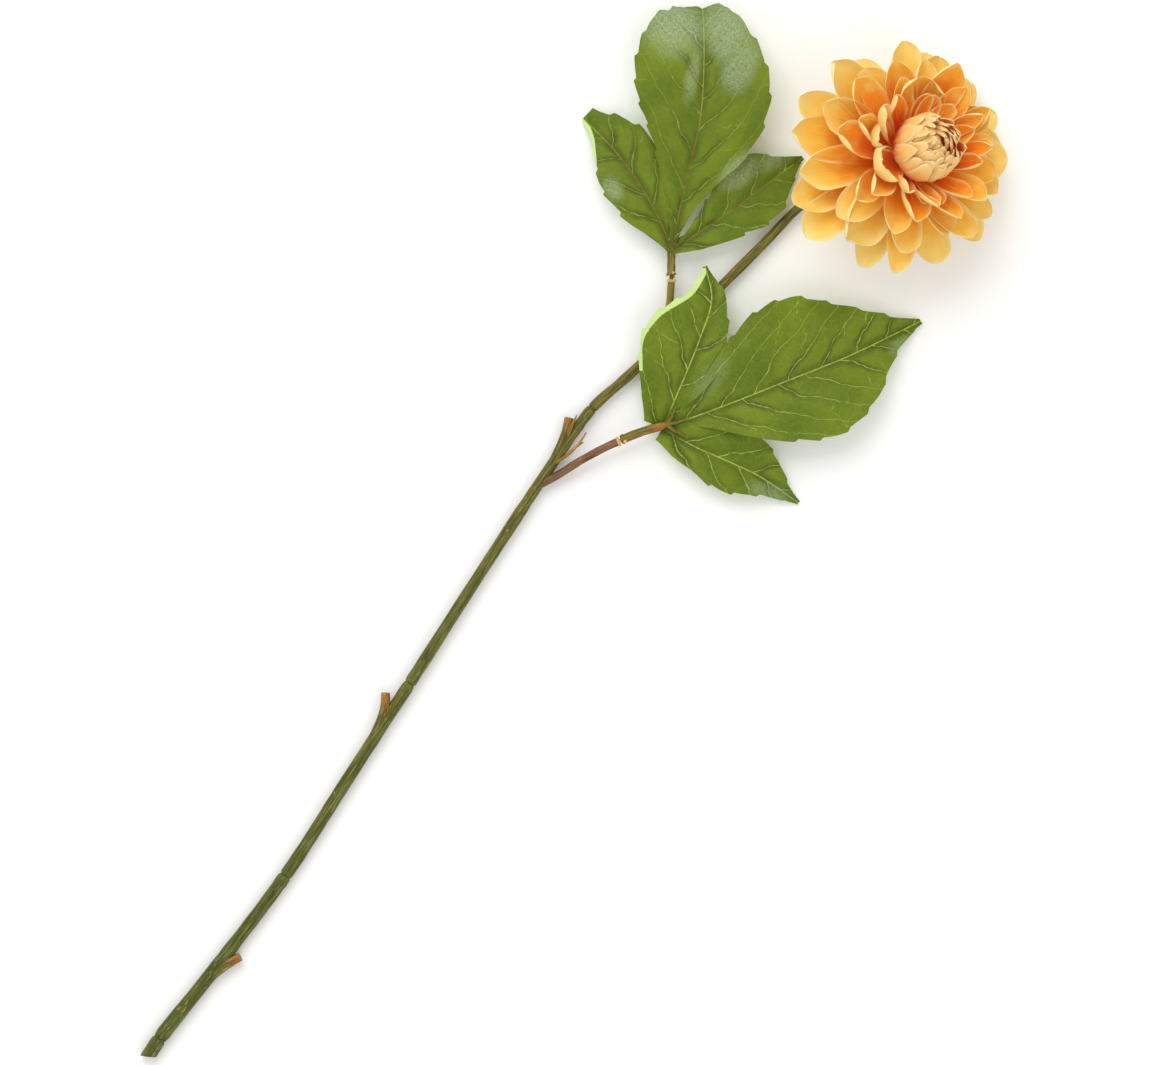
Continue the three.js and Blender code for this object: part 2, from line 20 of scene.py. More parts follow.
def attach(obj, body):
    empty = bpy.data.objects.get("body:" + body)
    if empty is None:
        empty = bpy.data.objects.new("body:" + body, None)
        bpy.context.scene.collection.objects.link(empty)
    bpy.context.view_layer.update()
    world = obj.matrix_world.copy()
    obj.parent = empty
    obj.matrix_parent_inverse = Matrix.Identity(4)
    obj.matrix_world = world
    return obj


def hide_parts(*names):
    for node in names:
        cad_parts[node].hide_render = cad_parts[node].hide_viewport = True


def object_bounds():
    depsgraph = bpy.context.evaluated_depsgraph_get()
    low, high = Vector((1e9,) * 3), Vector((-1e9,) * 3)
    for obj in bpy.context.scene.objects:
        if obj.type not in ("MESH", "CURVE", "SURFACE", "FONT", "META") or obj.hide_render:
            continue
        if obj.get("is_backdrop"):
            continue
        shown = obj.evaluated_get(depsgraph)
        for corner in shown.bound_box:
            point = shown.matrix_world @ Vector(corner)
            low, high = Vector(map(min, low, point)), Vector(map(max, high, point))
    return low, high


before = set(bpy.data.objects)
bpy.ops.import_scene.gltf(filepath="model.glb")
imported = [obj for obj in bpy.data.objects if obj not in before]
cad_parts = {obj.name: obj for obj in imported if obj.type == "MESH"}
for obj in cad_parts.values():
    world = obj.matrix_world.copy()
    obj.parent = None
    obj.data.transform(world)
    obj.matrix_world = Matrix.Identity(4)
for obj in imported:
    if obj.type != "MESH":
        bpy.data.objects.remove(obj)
cad_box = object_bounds()
print("packed model:", [tuple(round(c, 4) for c in corner) for corner in cad_box])

# %% Shared values
MM = 0.001
TABLE_MIDDLE = Vector((25.3, 16.2, 0)) * MM  # from the layout's origin to the frame's
dice = random.Random(23)  # one seed, so the flower is the same on every run


def metres(points):
    """Points of the layout, in millimetres, as places in the frame, in metres."""
    return [Vector(point) * MM + TABLE_MIDDLE for point in points]


print("layout moved by", tuple(round(c, 4) for c in TABLE_MIDDLE))

# %% [markdown]
# ## Camera, table and light
#
# The camera hangs straight over the flower and is turned so that the stem runs from one
# corner to the other. A long lens far away keeps the outline free of perspective. The
# table is one pale sheet, and the light is a wide soft box from the leaf side with a
# bright surround, so that shadows stay soft and the cloth keeps its own colour.

# %% Camera
CAMERA_HEIGHT = 2.5875
CAMERA_TURN = math.radians(40)
LENS = 180
FILM_WIDTH = 36
bpy.ops.object.camera_add(
    location=(TABLE_MIDDLE.x, TABLE_MIDDLE.y, CAMERA_HEIGHT),
    rotation=(0, 0, CAMERA_TURN),
)
camera = bpy.context.active_object
camera.name = "camera"
camera.data.lens = LENS
camera.data.sensor_width = FILM_WIDTH
camera.data.clip_end = 20
bpy.context.scene.camera = camera
bpy.context.scene.view_settings.view_transform = "Standard"
print("camera height", CAMERA_HEIGHT, "lens", camera.data.lens)

# %% Soft light
SURROUND_STRENGTH = 0.80
surround = bpy.data.worlds.new("pale_surround")
surround.use_nodes = True
sky = surround.node_tree.nodes["Background"]
sky.inputs["Color"].default_value = (1.0, 0.99, 0.975, 1)
sky.inputs["Strength"].default_value = SURROUND_STRENGTH
bpy.context.scene.world = surround


def soft_box(name, place, width, power):
    """A square area light at place that shines at the middle of the table."""
    bpy.ops.object.light_add(type="AREA", location=place)
    light = bpy.context.active_object
    light.name = name
    light.data.size = width
    light.data.energy = power
    aim = TABLE_MIDDLE - Vector(place)
    light.rotation_euler = aim.to_track_quat("-Z", "Y").to_euler()
    return light


soft_box("leaf_side_box", (-1.5, 0.9, 2.0), 2.0, 35)
soft_box("fill_box", (1.7, -0.6, 2.2), 2.2, 13)

# %% [markdown]
# ## Sums on sockets
#
# A finish is worked out with sums: how far from the rim, how deep in the throat. Those
# sums could be wired by hand, node by node, but they read better as sums. A small class
# wraps a socket so that a sum in Python adds the Math node for it. Colours and vectors
# go through nodes of their own, which one method adds: settings first, then the values
# or links of the sockets.


# %% Socket class
class Value:
    """A socket that is used in sums like a number."""

    def __init__(self, finish, socket):
        self.finish = finish
        self.socket = socket

    def sum(self, operation, *values):
        """Adds the Math node for an operation on these values."""
        return self.finish.node(
            "Math", {"operation": operation}, dict(enumerate(values))
        )

    def __add__(self, other):
        return self.sum("ADD", self, other)

    def __sub__(self, other):
        return self.sum("SUBTRACT", self, other)

    def __rsub__(self, other):
        return self.sum("SUBTRACT", other, self)

    def __mul__(self, other):
        return self.sum("MULTIPLY", self, other)

    def __truediv__(self, other):
        return self.sum("DIVIDE", self, other)

    def __abs__(self):
        return self.sum("ABSOLUTE", self)

    __radd__ = __add__
    __rmul__ = __mul__

    def or_more(self, other):
        """The larger of the two."""
        return self.sum("MAXIMUM", self, other)

    def to_nearest_line(self):
        """How far the value is from the nearest whole number, 0 to 0.5."""
        return self.sum("PINGPONG", self, 0.5)

    def rises(self, low, high):
        """0 below low, 1 above high, and smooth between them."""
        return self.finish.node(
            "MapRange",
            {"interpolation_type": "SMOOTHSTEP"},
            {"Value": self, "From Min": low, "From Max": high},
        )

    def falls(self, low, high):
        """1 below low, 0 above high, and smooth between them."""
        return 1 - self.rises(low, high)


# %% Finish class
class Finish:
    """A material under work; its shader is a Principled one."""

    def __init__(self, name, **plain):
        self.material = bpy.data.materials.new(name)
        self.material.use_nodes = True
        self.tree = self.material.node_tree
        self.shader = self.tree.nodes["Principled BSDF"]
        for socket, value in plain.items():
            self.shader.inputs[socket.replace("_", " ")].default_value = value

    def node(self, kind, settings, sockets, output=0):
        """Adds a node, sets its settings and then its sockets, and gives one output."""
        node = self.tree.nodes.new("ShaderNode" + kind)
        for key, value in settings.items():
            setattr(node, key, value)
        for key, value in sockets.items():
            if isinstance(value, Value):
                self.tree.links.new(value.socket, node.inputs[key])
            else:
                node.inputs[key].default_value = value
        return Value(self, node.outputs[output])

    def attribute(self, name, output="Fac"):
        """A value or a place that the piece's points keep under a name."""
        return self.node("Attribute", {"attribute_name": name}, {}, output)

    def parts(self, vector):
        """The x, y and z of a vector."""
        return [self.node("SeparateXYZ", {}, {0: vector}, k) for k in range(3)]

    def place(self):
        """Where the surface is, in metres."""
        return self.node("TexCoord", {}, {}, "Object")

    def scaled(self, vector, x, y, z):
        """Stretches a pattern: the larger the number, the finer it gets that way."""
        return self.node("Mapping", {}, {"Vector": vector, "Scale": (x, y, z)})

    def noise(self, vector, scale, detail=2.0, roughness=0.5):
        """A cloudy value from 0 to 1, mostly near 0.5."""
        sockets = {
            "Vector": vector,
            "Scale": scale,
            "Detail": detail,
            "Roughness": roughness,
        }
        return self.node("TexNoise", {}, sockets)

    def mix(self, share, first, second):
        """A colour between two: first where share is 0, second where it is 1."""
        colours = [c if isinstance(c, Value) else (*c, 1) for c in (first, second)]
        return self.node(
            "Mix",
            {"data_type": "RGBA"},
            {0: share, 6: colours[0], 7: colours[1]},
            2,
        )

    def bump(self, height, distance, strength=1.0):
        """Small relief; the distance is its height in metres."""
        sockets = {"Height": height, "Distance": distance, "Strength": strength}
        return self.node("Bump", {}, sockets)

    def wear(self, **links):
        """Links what varies over the surface to the shader."""
        for socket, value in links.items():
            target = self.shader.inputs[socket.replace("_", " ")]
            self.tree.links.new(value.socket, target)
        print("finish", self.material.name, "with", len(self.tree.nodes), "nodes")
        return self.material


# %% Table top
TABLE_WIDTH = 9
table_finish = Finish("pale_table", Roughness=0.9)
table_cloud = table_finish.noise(table_finish.place(), 3.0)
pale_table = table_finish.wear(
    Base_Color=table_finish.mix(table_cloud, (0.93, 0.93, 0.925), (0.95, 0.95, 0.945))
)
bpy.ops.mesh.primitive_plane_add(size=TABLE_WIDTH)
table_top = bpy.context.active_object
table_top.name = "table_top"
table_top.data.materials.append(pale_table)
table_top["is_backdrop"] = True
print("table top", tuple(table_top.dimensions))

# %% [markdown]
# ## Working by numbers
#
# In edit mode a part is shaped by picking points and turning, sizing or shifting them.
# These few helpers do that by number. Without a window the turn operator goes the other
# way round and needs its centre, so one helper takes care of both.


# %% Picking and moving points
def take(*objects):
    """Selects only these objects; the first is the active one."""
    if bpy.context.mode != "OBJECT":
        bpy.ops.object.mode_set(mode="OBJECT")
    bpy.ops.object.select_all(action="DESELECT")
    for each in objects:
        each.select_set(True)
    bpy.context.view_layer.objects.active = objects[0]
    return objects[0]


def edit(piece):
    """Opens a piece in edit mode with nothing picked, and gives its mesh."""
    take(piece)
    bpy.ops.object.mode_set(mode="EDIT")
    bpy.ops.mesh.select_mode(type="VERT")
    bpy.ops.mesh.select_all(action="DESELECT")
    mesh = bmesh.from_edit_mesh(piece.data)
    mesh.verts.ensure_lookup_table()
    return mesh


def pick(mesh, numbers, add=False):
    """Picks points by number."""
    if not add:
        bpy.ops.mesh.select_all(action="DESELECT")
    for number in numbers:
        mesh.verts[number].select_set(True)


def turn(degrees, axis, centre=(0, 0, 0)):
    """Turns what is picked, right-handed, about an axis through centre."""
    bpy.ops.transform.rotate(
        value=-math.radians(degrees), orient_axis=axis, center_override=centre
    )


def size(x, y, z, centre=(0, 0, 0)):
    """Sizes what is picked, from centre."""
    bpy.ops.transform.resize(value=(x, y, z), center_override=centre)


def shift(x, y, z):
    """Moves what is picked."""
    bpy.ops.transform.translate(value=(x, y, z))


# %% Copies, joins and modifiers
def copy_of(pattern, name):
    """A copy with a mesh of its own."""
    twin = pattern.copy()
    twin.data = pattern.data.copy()
    twin.name = name
    bpy.context.collection.objects.link(twin)
    return twin


def discard(piece):
    """Removes a piece that was only a means, such as a pattern."""
    bpy.data.objects.remove(piece, do_unlink=True)


def join(pieces, name):
    """Joins pieces into the first one."""
    take(*pieces)
    if len(pieces) > 1:
        bpy.ops.object.join()
    pieces[0].name = name
    return pieces[0]


def apply_modifier(piece, kind, **settings):
    """Adds a modifier with its settings and applies it at once."""
    modifier = piece.modifiers.new(kind.lower(), kind)
    for key, value in settings.items():
        setattr(modifier, key, value)
    take(piece)
    bpy.ops.object.modifier_apply(modifier=modifier.name)


# %% Keeping values on points, and placing a piece
def remember_flat(piece):
    """Keeps where each point lay before bending, for patterns that follow the piece."""
    kept = piece.data.attributes.new("flat", "FLOAT_VECTOR", "POINT")
    for point, value in zip(piece.data.vertices, kept.data):
        value.vector = point.co


def remember_number(piece, name, number):
    """Gives every point the same number under a name, for a finish to read."""
    kept = piece.data.attributes.new(name, "FLOAT", "POINT")
    for value in kept.data:
        value.value = number


def hand_in(piece, node):
    """Says which solid the piece stands for: hangs it on the root body and hides that
    solid.
    """
    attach(piece, "root")
    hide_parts(node)
    print(piece.name, "for", node, "with", len(piece.data.polygons), "faces")


# %% Smooth lines
def smooth_line(points, steps=16):
    """Points of a smooth line through the given ones."""
    first = points[0] * 2 - points[1]
    last = points[-1] * 2 - points[-2]
    line = []
    chain = [first, *points, last]
    for a, b, c, d in zip(chain, chain[1:], chain[2:], chain[3:]):
        ab, bc, cd = ((q - p).length ** 0.5 for p, q in ((a, b), (b, c), (c, d)))
        leave = ((b - a) / ab - (c - a) / (ab + bc) + (c - b) / bc) * bc
        arrive = ((c - b) / bc - (d - b) / (bc + cd) + (d - c) / cd) * bc
        for step in range(steps):
            t = step / steps
            line.append(
                b * (2 * t**3 - 3 * t**2 + 1)
                + c * (3 * t**2 - 2 * t**3)
                + leave * (t**3 - 2 * t**2 + t)
                + arrive * (t**3 - t**2)
            )
    return [*line, points[-1].copy()]


def line_length(line):
    """The length of a line through its points."""
    return sum((b - a).length for a, b in zip(line, line[1:]))


def smooth_at(values, share):
    """The value of an evenly spaced list at a share of its length, smoothly."""
    place = min(max(share, 0.0), 1.0) * (len(values) - 1)
    before = min(int(place), len(values) - 2)
    t = place - before
    a = values[max(before - 1, 0)]
    b, c = values[before], values[before + 1]
    d = values[min(before + 2, len(values) - 1)]
    bend = (2 * a - 5 * b + 4 * c - d) * t**2 + (3 * b - a - 3 * c + d) * t**3
    return max(0.5 * (2 * b + (c - a) * t + bend), min(b, c) * 0.8)


def bend_along(piece, line):
    """Bends a piece that lies along +X so that it follows the line."""
    data = bpy.data.curves.new("guide", "CURVE")
    data.dimensions = "3D"
    data.twist_mode = "Z_UP"
    spline = data.splines.new("POLY")
    spline.points.add(len(line) - 1)
    for point, place in zip(spline.points, line):
        point.co = (*place, 1)
    guide = bpy.data.objects.new("guide", data)
    bpy.context.collection.objects.link(guide)
    apply_modifier(piece, "CURVE", object=guide, deform_axis="POS_X")
    discard(guide)


# %% [markdown]
# ## Stem plastic
#
# The stem is moulded in olive green plastic with a fine lengthwise grain, browner
# towards the flower and greener towards the cut end, with pale specks where the skin is
# rubbed. Cutting such grain as geometry would take far too many faces, so it is drawn
# by long thin noise: one for the dark grooves, one for the pale ridges and one for the
# scratches. It is worked out on the straight bar and bends with it, so the pattern
# reads the places that were kept before bending.


# %% Moulded plastic finish
def grain_finish(name, lower, upper, groove, speck, roughness=0.42, span=(0.0, 0.6)):
    """Plastic with lengthwise grain, from the colour lower to the colour upper.

    The grain's grooves have a colour of their own, and its ridges and scratches are
    rubbed towards speck. The span says where along the bar, in metres, upper comes in.
    """
    finish = Finish(name, Specular_IOR_Level=0.22)
    flat = finish.attribute("flat", "Vector")
    along, _, _ = finish.parts(flat)
    grain = finish.noise(finish.scaled(flat, 70, 1150, 1150), 1.0, 3.0, 0.6)
    cloud = finish.noise(finish.scaled(flat, 60, 160, 160), 1.0, 3.0)
    climb = (along + (cloud - 0.5) * 0.12).rises(*span)
    skin = finish.mix(climb, lower, upper)
    ridge = finish.noise(finish.scaled(flat, 70, 1900, 1900), 1.0, 2.0, 0.6)
    skin = finish.mix(ridge.rises(0.5, 0.66) * 0.42, skin, speck)
    skin = finish.mix(grain.rises(0.46, 0.62) * 0.78, skin, groove)
    scratch = finish.noise(finish.scaled(flat, 300, 1500, 1500), 1.0, 2.0)
    rubbed = scratch.rises(0.60, 0.68) * cloud.rises(0.42, 0.60)
    skin = finish.mix(rubbed * 0.7, skin, speck)
    height = ridge * 0.5 - grain * 0.8 + scratch * 0.2
    return finish.wear(
        Base_Color=skin,
        Roughness=roughness + (cloud - 0.5) * 0.25 - rubbed * 0.1,
        Normal=finish.bump(height, 0.0006, 0.8),
    )


stem_skin = grain_finish(
    "stem_plastic_olive",
    lower=(0.072, 0.098, 0.009),
    upper=(0.175, 0.132, 0.013),
    groove=(0.040, 0.040, 0.004),
    speck=(0.36, 0.30, 0.10),
)
shoot_skin = grain_finish(
    "shoot_plastic_two_tone",
    lower=(0.105, 0.102, 0.012),
    upper=(0.300, 0.130, 0.020),
    groove=(0.060, 0.048, 0.007),
    speck=(0.46, 0.36, 0.14),
    span=(0.008, 0.024),
)
bract_skin = grain_finish(
    "bract_plastic_amber",
    lower=(0.250, 0.150, 0.016),
    upper=(0.520, 0.270, 0.030),
    groove=(0.200, 0.090, 0.012),
    speck=(0.62, 0.46, 0.16),
    span=(0.0, 0.014),
)
cut_end = grain_finish(
    "stem_plastic_cut",
    lower=(0.24, 0.22, 0.075),
    upper=(0.27, 0.19, 0.075),
    groove=(0.12, 0.10, 0.03),
    speck=(0.50, 0.46, 0.26),
    roughness=0.6,
)

# %% [markdown]
# ## Stem sleeves
#
# Five sleeves on a wire make the stem. A sleeve could be a bevelled curve, but that
# stays perfectly round. Here each one is a bar, drawn out ring by ring from a disc:
# extrude a little, then size the new ring. Its ends draw in, which shows as a neck at
# every joint, and small random changes of size give the uneven look of a moulded twig.
# The straight bar is then bent along the stem's line.


# %% Drawing out a bar
BAR_SIDES = 16


def bar(name, rings, wobble=0.0, sides=BAR_SIDES):
    """A round bar along +X from (distance, radius) pairs, closed at both ends."""
    start, radius = rings[0]
    bpy.ops.object.select_all(action="DESELECT")
    bpy.ops.mesh.primitive_circle_add(
        vertices=sides,
        radius=radius,
        fill_type="NGON",
        location=(start, 0, 0),
        rotation=(0, math.pi / 2, 0),
    )
    rod = bpy.context.active_object
    rod.name = name
    bpy.ops.object.transform_apply(location=True, rotation=True, scale=True)
    bpy.ops.object.mode_set(mode="EDIT")
    bpy.ops.mesh.select_mode(type="FACE")
    bpy.ops.mesh.select_all(action="SELECT")
    now = (1.0, 1.0)  # how far from round the last ring is
    for (before, was), (along, radius) in zip(rings, rings[1:]):
        bpy.ops.mesh.extrude_region_move(
            TRANSFORM_OT_translate={"value": (along - before, 0, 0)}
        )
        oval = tuple(1 + dice.uniform(-wobble, wobble) for _ in range(2))
        size(
            1,
            radius / was * oval[0] / now[0],
            radius / was * oval[1] / now[1],
            (along, 0, 0),
        )
        now = oval
    bpy.ops.mesh.select_all(action="SELECT")
    bpy.ops.mesh.normals_make_consistent(inside=False)
    bpy.ops.object.mode_set(mode="OBJECT")
    remember_flat(rod)
    return rod


# %% Checking, spacing and skinning a bar
def open_edges(piece):
    """How many edges have only one face: none on a closed bar."""
    mesh = bmesh.new()
    mesh.from_mesh(piece.data)
    count = sum(1 for edge in mesh.edges if len(edge.link_faces) != 2)
    mesh.free()
    return count


def rings_between(start, stop, lower, upper, step):
    """Even rings from start to stop, with the radius running from lower to upper."""
    count = max(2, round((stop - start) / step))
    shares = [k / count for k in range(count + 1)]
    return [(start + s * (stop - start), lower + s * (upper - lower)) for s in shares]


BAR_SMOOTH = math.radians(50)


def moulded(rod, skin, end_skin):
    """Skins a bar: its two end faces show the cut inside."""
    rod.data.materials.clear()
    rod.data.materials.append(skin)
    rod.data.materials.append(end_skin)
    for face in rod.data.polygons:
        face.material_index = 1 if len(face.vertices) > 4 else 0
    take(rod)
    bpy.ops.object.shade_smooth_by_angle(angle=BAR_SMOOTH)
    return rod


# %% The stem's line
HEAD_FOOT = Vector((4.4, 220.2, 24.7))
HEAD_TILT = math.radians(25)
HEAD_HEADING = math.radians(60)
HEAD_HINGE = Vector((-math.sin(HEAD_HEADING), math.cos(HEAD_HEADING), 0))
HEAD_TURN = Matrix.Rotation(HEAD_TILT, 4, HEAD_HINGE)
HEAD_AXIS = HEAD_TURN @ Vector((0, 0, 1))


def on_head_axis(height):
    """A place on the head's axis, this many millimetres above its foot."""
    return tuple(HEAD_FOOT + HEAD_AXIS * height)


STEM_JOINTS = [
    (4.7, -305.9, 3.5),
    (3.2, -294.3, 3.5),
    (-0.6, -201.7, 3.6),
    (-13.3, -99.6, 4.2),
    (-29.9, 47.5, 4.2),
]
NECK_END = on_head_axis(-8)
STEM_POINTS = [
    STEM_JOINTS[0],
    STEM_JOINTS[1],
    (2.3, -262, 3.5),
    STEM_JOINTS[2],
    (-7.0, -150.6, 4.0),
    STEM_JOINTS[3],
    (-20.2, -46.0, 4.4),
    (-26.8, 9.5, 4.4),
    STEM_JOINTS[4],
    (-26.9, 69.2, 4.2),
    (-23.0, 103.7, 4.0),
    (-18.7, 150.9, 4.2),
    (-16.0, 180.5, 4.8),
    (-8.0, 199.6, 6.6),
    (-2.6, 208.6, 8.4),
    on_head_axis(-13),
    NECK_END,
    on_head_axis(-3),
]
LINE_STEPS = 16
stem_line = smooth_line(metres(STEM_POINTS), LINE_STEPS)


def along_stem(point):
    """How far along the stem one of its points lies."""
    return line_length(stem_line[: STEM_POINTS.index(point) * LINE_STEPS + 1])


print("stem length", round(line_length(stem_line), 4))

# %% Sleeves with their cut side shoots
JOINT_GAP = 0.03 * MM
SLEEVES = [  # name, radius at the lower and the upper end
    ("stem_end_sleeve", 3.2, 3.3),
    ("stem_lower_sleeve", 3.15, 2.9),
    ("stem_middle_sleeve", 2.85, 2.7),
    ("stem_branching_sleeve", 2.7, 2.5),
    ("stem_upper_sleeve", 2.3, 2.0),
]
SHOOTS = {  # points of each shoot and its radii, in millimetres
    "stem_lower_sleeve": [
        (
            [(2.1, -262, 3.5), (3.0, -255, 3.7), (4.9, -248.4, 4.1),
             (7.4, -242.6, 4.6)],
            (2.5, 2.75, 2.4, 1.9),
        ),
    ],
    "stem_middle_sleeve": [
        (
            [(-9.8, -130, 4.1), (-11.7, -122, 4.3), (-14.9, -115, 4.8),
             (-18.9, -109.8, 5.2)],
            (2.3, 2.6, 2.2, 2.0),
        ),
    ],
    "stem_branching_sleeve": [
        (
            [(-28.3, 19.5, 4.4), (-29.9, 26.6, 4.7), (-32.2, 32.2, 5.3),
             (-35.2, 37.8, 5.8)],
            (2.1, 2.4, 2.0, 2.0),
        ),
        ([(-30.2, 31, 6), (-31.9, 35.5, 7.4), (-33.2, 41, 8.6)], (0.8, 0.7, 0.25)),
        (
            [(-27, 18, 5.6), (-25, 24.5, 7.2), (-24.3, 30.5, 8.4), (-24.9, 37.6, 9.6)],
            (0.9, 0.7, 0.6, 0.3),
        ),
        ([(-24.3, 30, 8.3), (-23.2, 33.5, 8.4)], (0.6, 0.3)),
    ],
}


# %% Shaping a shoot and a sleeve
SHOOT_RINGS = 6
SHORT_SLEEVE = 0.02


def shoot(name, points, radii, sides=12):
    """A short bar along a line of its own, with radii evenly spaced along it."""
    skin = shoot_skin if radii[-1] > 1 else bract_skin
    line = smooth_line(metres(points))
    length = line_length(line)
    shares = [k / SHOOT_RINGS for k in range(SHOOT_RINGS + 1)]
    rings = [(length * share, smooth_at(radii, share) * MM) for share in shares]
    rod = bar(name, rings, 0.03, sides)
    bend_along(rod, line)
    return moulded(rod, skin, cut_end)


def sleeve_rings(start, stop, lower, upper):
    """A sleeve's rings: drawn in at both ends, with a slight swelling beside them."""
    neck = [(0.0, 0.80), (0.4, 0.93), (1.3, 1.0), (3.2, 1.05), (6.0, 1.01)]
    near = [(start + d * MM, lower * share * MM) for d, share in neck]
    far = [(stop - d * MM, upper * share * MM) for d, share in reversed(neck)]
    if stop - start < SHORT_SLEEVE:
        near, far = near[:4], far[1:]
    middle = rings_between(near[-1][0], far[0][0], lower * MM, upper * MM, 5 * MM)
    return [*near, *middle[1:-1], *far]


# %% The five sleeves
SLANT = math.radians(34)  # of the cut at the stem's end
SLANT_AT = metres([(4.6, -303.4, 0)])[0]
SLEEVE_WOBBLE = 0.045

for number, (node, lower, upper) in enumerate(SLEEVES):
    last = number == len(SLEEVES) - 1
    start = along_stem(STEM_JOINTS[number]) + (JOINT_GAP if number else 0)
    stop = along_stem(NECK_END if last else STEM_JOINTS[number + 1]) - JOINT_GAP
    rings = sleeve_rings(start, stop, lower, upper)
    sleeve = bar(node + "_moulding", rings, SLEEVE_WOBBLE)
    bend_along(sleeve, stem_line)
    if number == 0:
        edit(sleeve)
        bpy.ops.mesh.select_all(action="SELECT")
        bpy.ops.mesh.bisect(
            plane_co=SLANT_AT,
            plane_no=(math.sin(SLANT), -math.cos(SLANT), 0),
            use_fill=True,
            clear_outer=True,
        )
        bpy.ops.object.mode_set(mode="OBJECT")
    moulded(sleeve, stem_skin, cut_end)
    parts = [
        shoot(f"{node}_shoot_{k}", points, radii)
        for k, (points, radii) in enumerate(SHOOTS.get(node, []))
    ]
    sleeve = join([sleeve, *parts], node + "_moulding")
    hand_in(sleeve, node)
    print("open edges", open_edges(sleeve))

# %% [markdown]
# ## Twigs and leaf ribs
#
# The lower leaf sits on a pinkish brown twig and the upper one on an olive twig. Each
# ends in a yellow collar, and a plastic rib with three prongs is pushed over its peg
# and glued, so a little dried glue shows. All of them are round and drawn out, so they
# are bars again, each with rings of its own; the prongs taper to nothing on the cloth.
# A bead of glue is a small ball, jittered and rounded again.

# %% Finishes of the twigs, ribs, collars and glue
twig_skin = grain_finish(
    "twig_plastic_brown",
    lower=(0.170, 0.080, 0.034),
    upper=(0.215, 0.092, 0.045),
    groove=(0.080, 0.036, 0.014),
    speck=(0.420, 0.270, 0.150),
    span=(0.0, 0.05),
)
olive_twig_skin = grain_finish(
    "twig_plastic_olive",
    lower=(0.170, 0.130, 0.014),
    upper=(0.230, 0.160, 0.022),
    groove=(0.080, 0.055, 0.008),
    speck=(0.50, 0.42, 0.16),
    span=(0.0, 0.05),
)
rib_skin = grain_finish(
    "rib_plastic_orange_brown",
    lower=(0.17, 0.135, 0.014),
    upper=(0.30, 0.130, 0.016),
    groove=(0.075, 0.055, 0.008),
    speck=(0.50, 0.40, 0.14),
    span=(0.004, 0.024),
)
collar_skin = grain_finish(
    "collar_plastic_yellow",
    lower=(0.62, 0.44, 0.07),
    upper=(0.60, 0.42, 0.10),
    groove=(0.40, 0.22, 0.03),
    speck=(0.80, 0.72, 0.40),
    roughness=0.3,
    span=(0.0, 0.02),
)

# %% Twigs
PEG_R = 0.85
PEG_LENGTH = 4.5
TWIGS = {
    "lower_leaf_twig": (
        1.8,
        [(-26.2, 6.5, 4.6), (-22.6, 14.6, 5.2), (-18.9, 26, 6.4), (-13.6, 39.2, 7.6),
         (-8.8, 48.6, 8.0)],
    ),
    "upper_leaf_twig": (
        1.6,
        [(-25.6, 76, 4.4), (-28.2, 90, 4.6), (-32.2, 103.5, 5.2), (-38.2, 112.6, 6.2),
         (-43.0, 118.6, 7.0)],
    ),
}


def bar_along(name, line, rings, skin, wobble=0.02, sides=BAR_SIDES):
    """A bar from (millimetres along, radius) pairs, bent along the line."""
    rod = bar(name, [(d * MM, r * MM) for d, r in rings], wobble, sides)
    bend_along(rod, line)
    return moulded(rod, skin, skin)


# %% The two twigs
FOOT_END = 2.2  # where the widened foot ends, from the start of the twig
COLLAR_ROOM = 1.6
TWIG_STEP = 3
COLLAR_RINGS = [(-1.6, 0.95), (-1.45, 1.2), (-1.0, 1.3), (-0.5, 1.26), (-0.3, 1.1)]

for node, (radius, points) in TWIGS.items():
    line = smooth_line(metres(points))
    end = line_length(line) / MM - PEG_LENGTH
    body = [(0, 0.6 * radius), (0.8, 1.15 * radius), (FOOT_END, 1.2 * radius)]
    shaft = end - FOOT_END - COLLAR_ROOM
    count = round((end - 4) / TWIG_STEP)
    for k in range(1, count + 1):
        uneven = 1 + 0.03 * math.sin(1.7 * k) + 0.2 * math.exp(-k)
        body.append((FOOT_END + shaft * k / count, radius * uneven))
    bark = twig_skin if node == "lower_leaf_twig" else olive_twig_skin
    twig = bar_along(node + "_bark", line, [*body, (end - 1.2, radius * 0.9)], bark)
    collar = bar_along(
        node + "_collar",
        line,
        [(end + d, radius * share) for d, share in COLLAR_RINGS],
        collar_skin,
        0.05,
    )
    peg = bar_along(
        node + "_peg",
        line,
        [(end - 1, PEG_R), (end + PEG_LENGTH - 0.3, PEG_R), (end + PEG_LENGTH, 0.6)],
        twig_skin,
    )
    twig = join([twig, collar, peg], node + "_moulding")
    hand_in(twig, node)

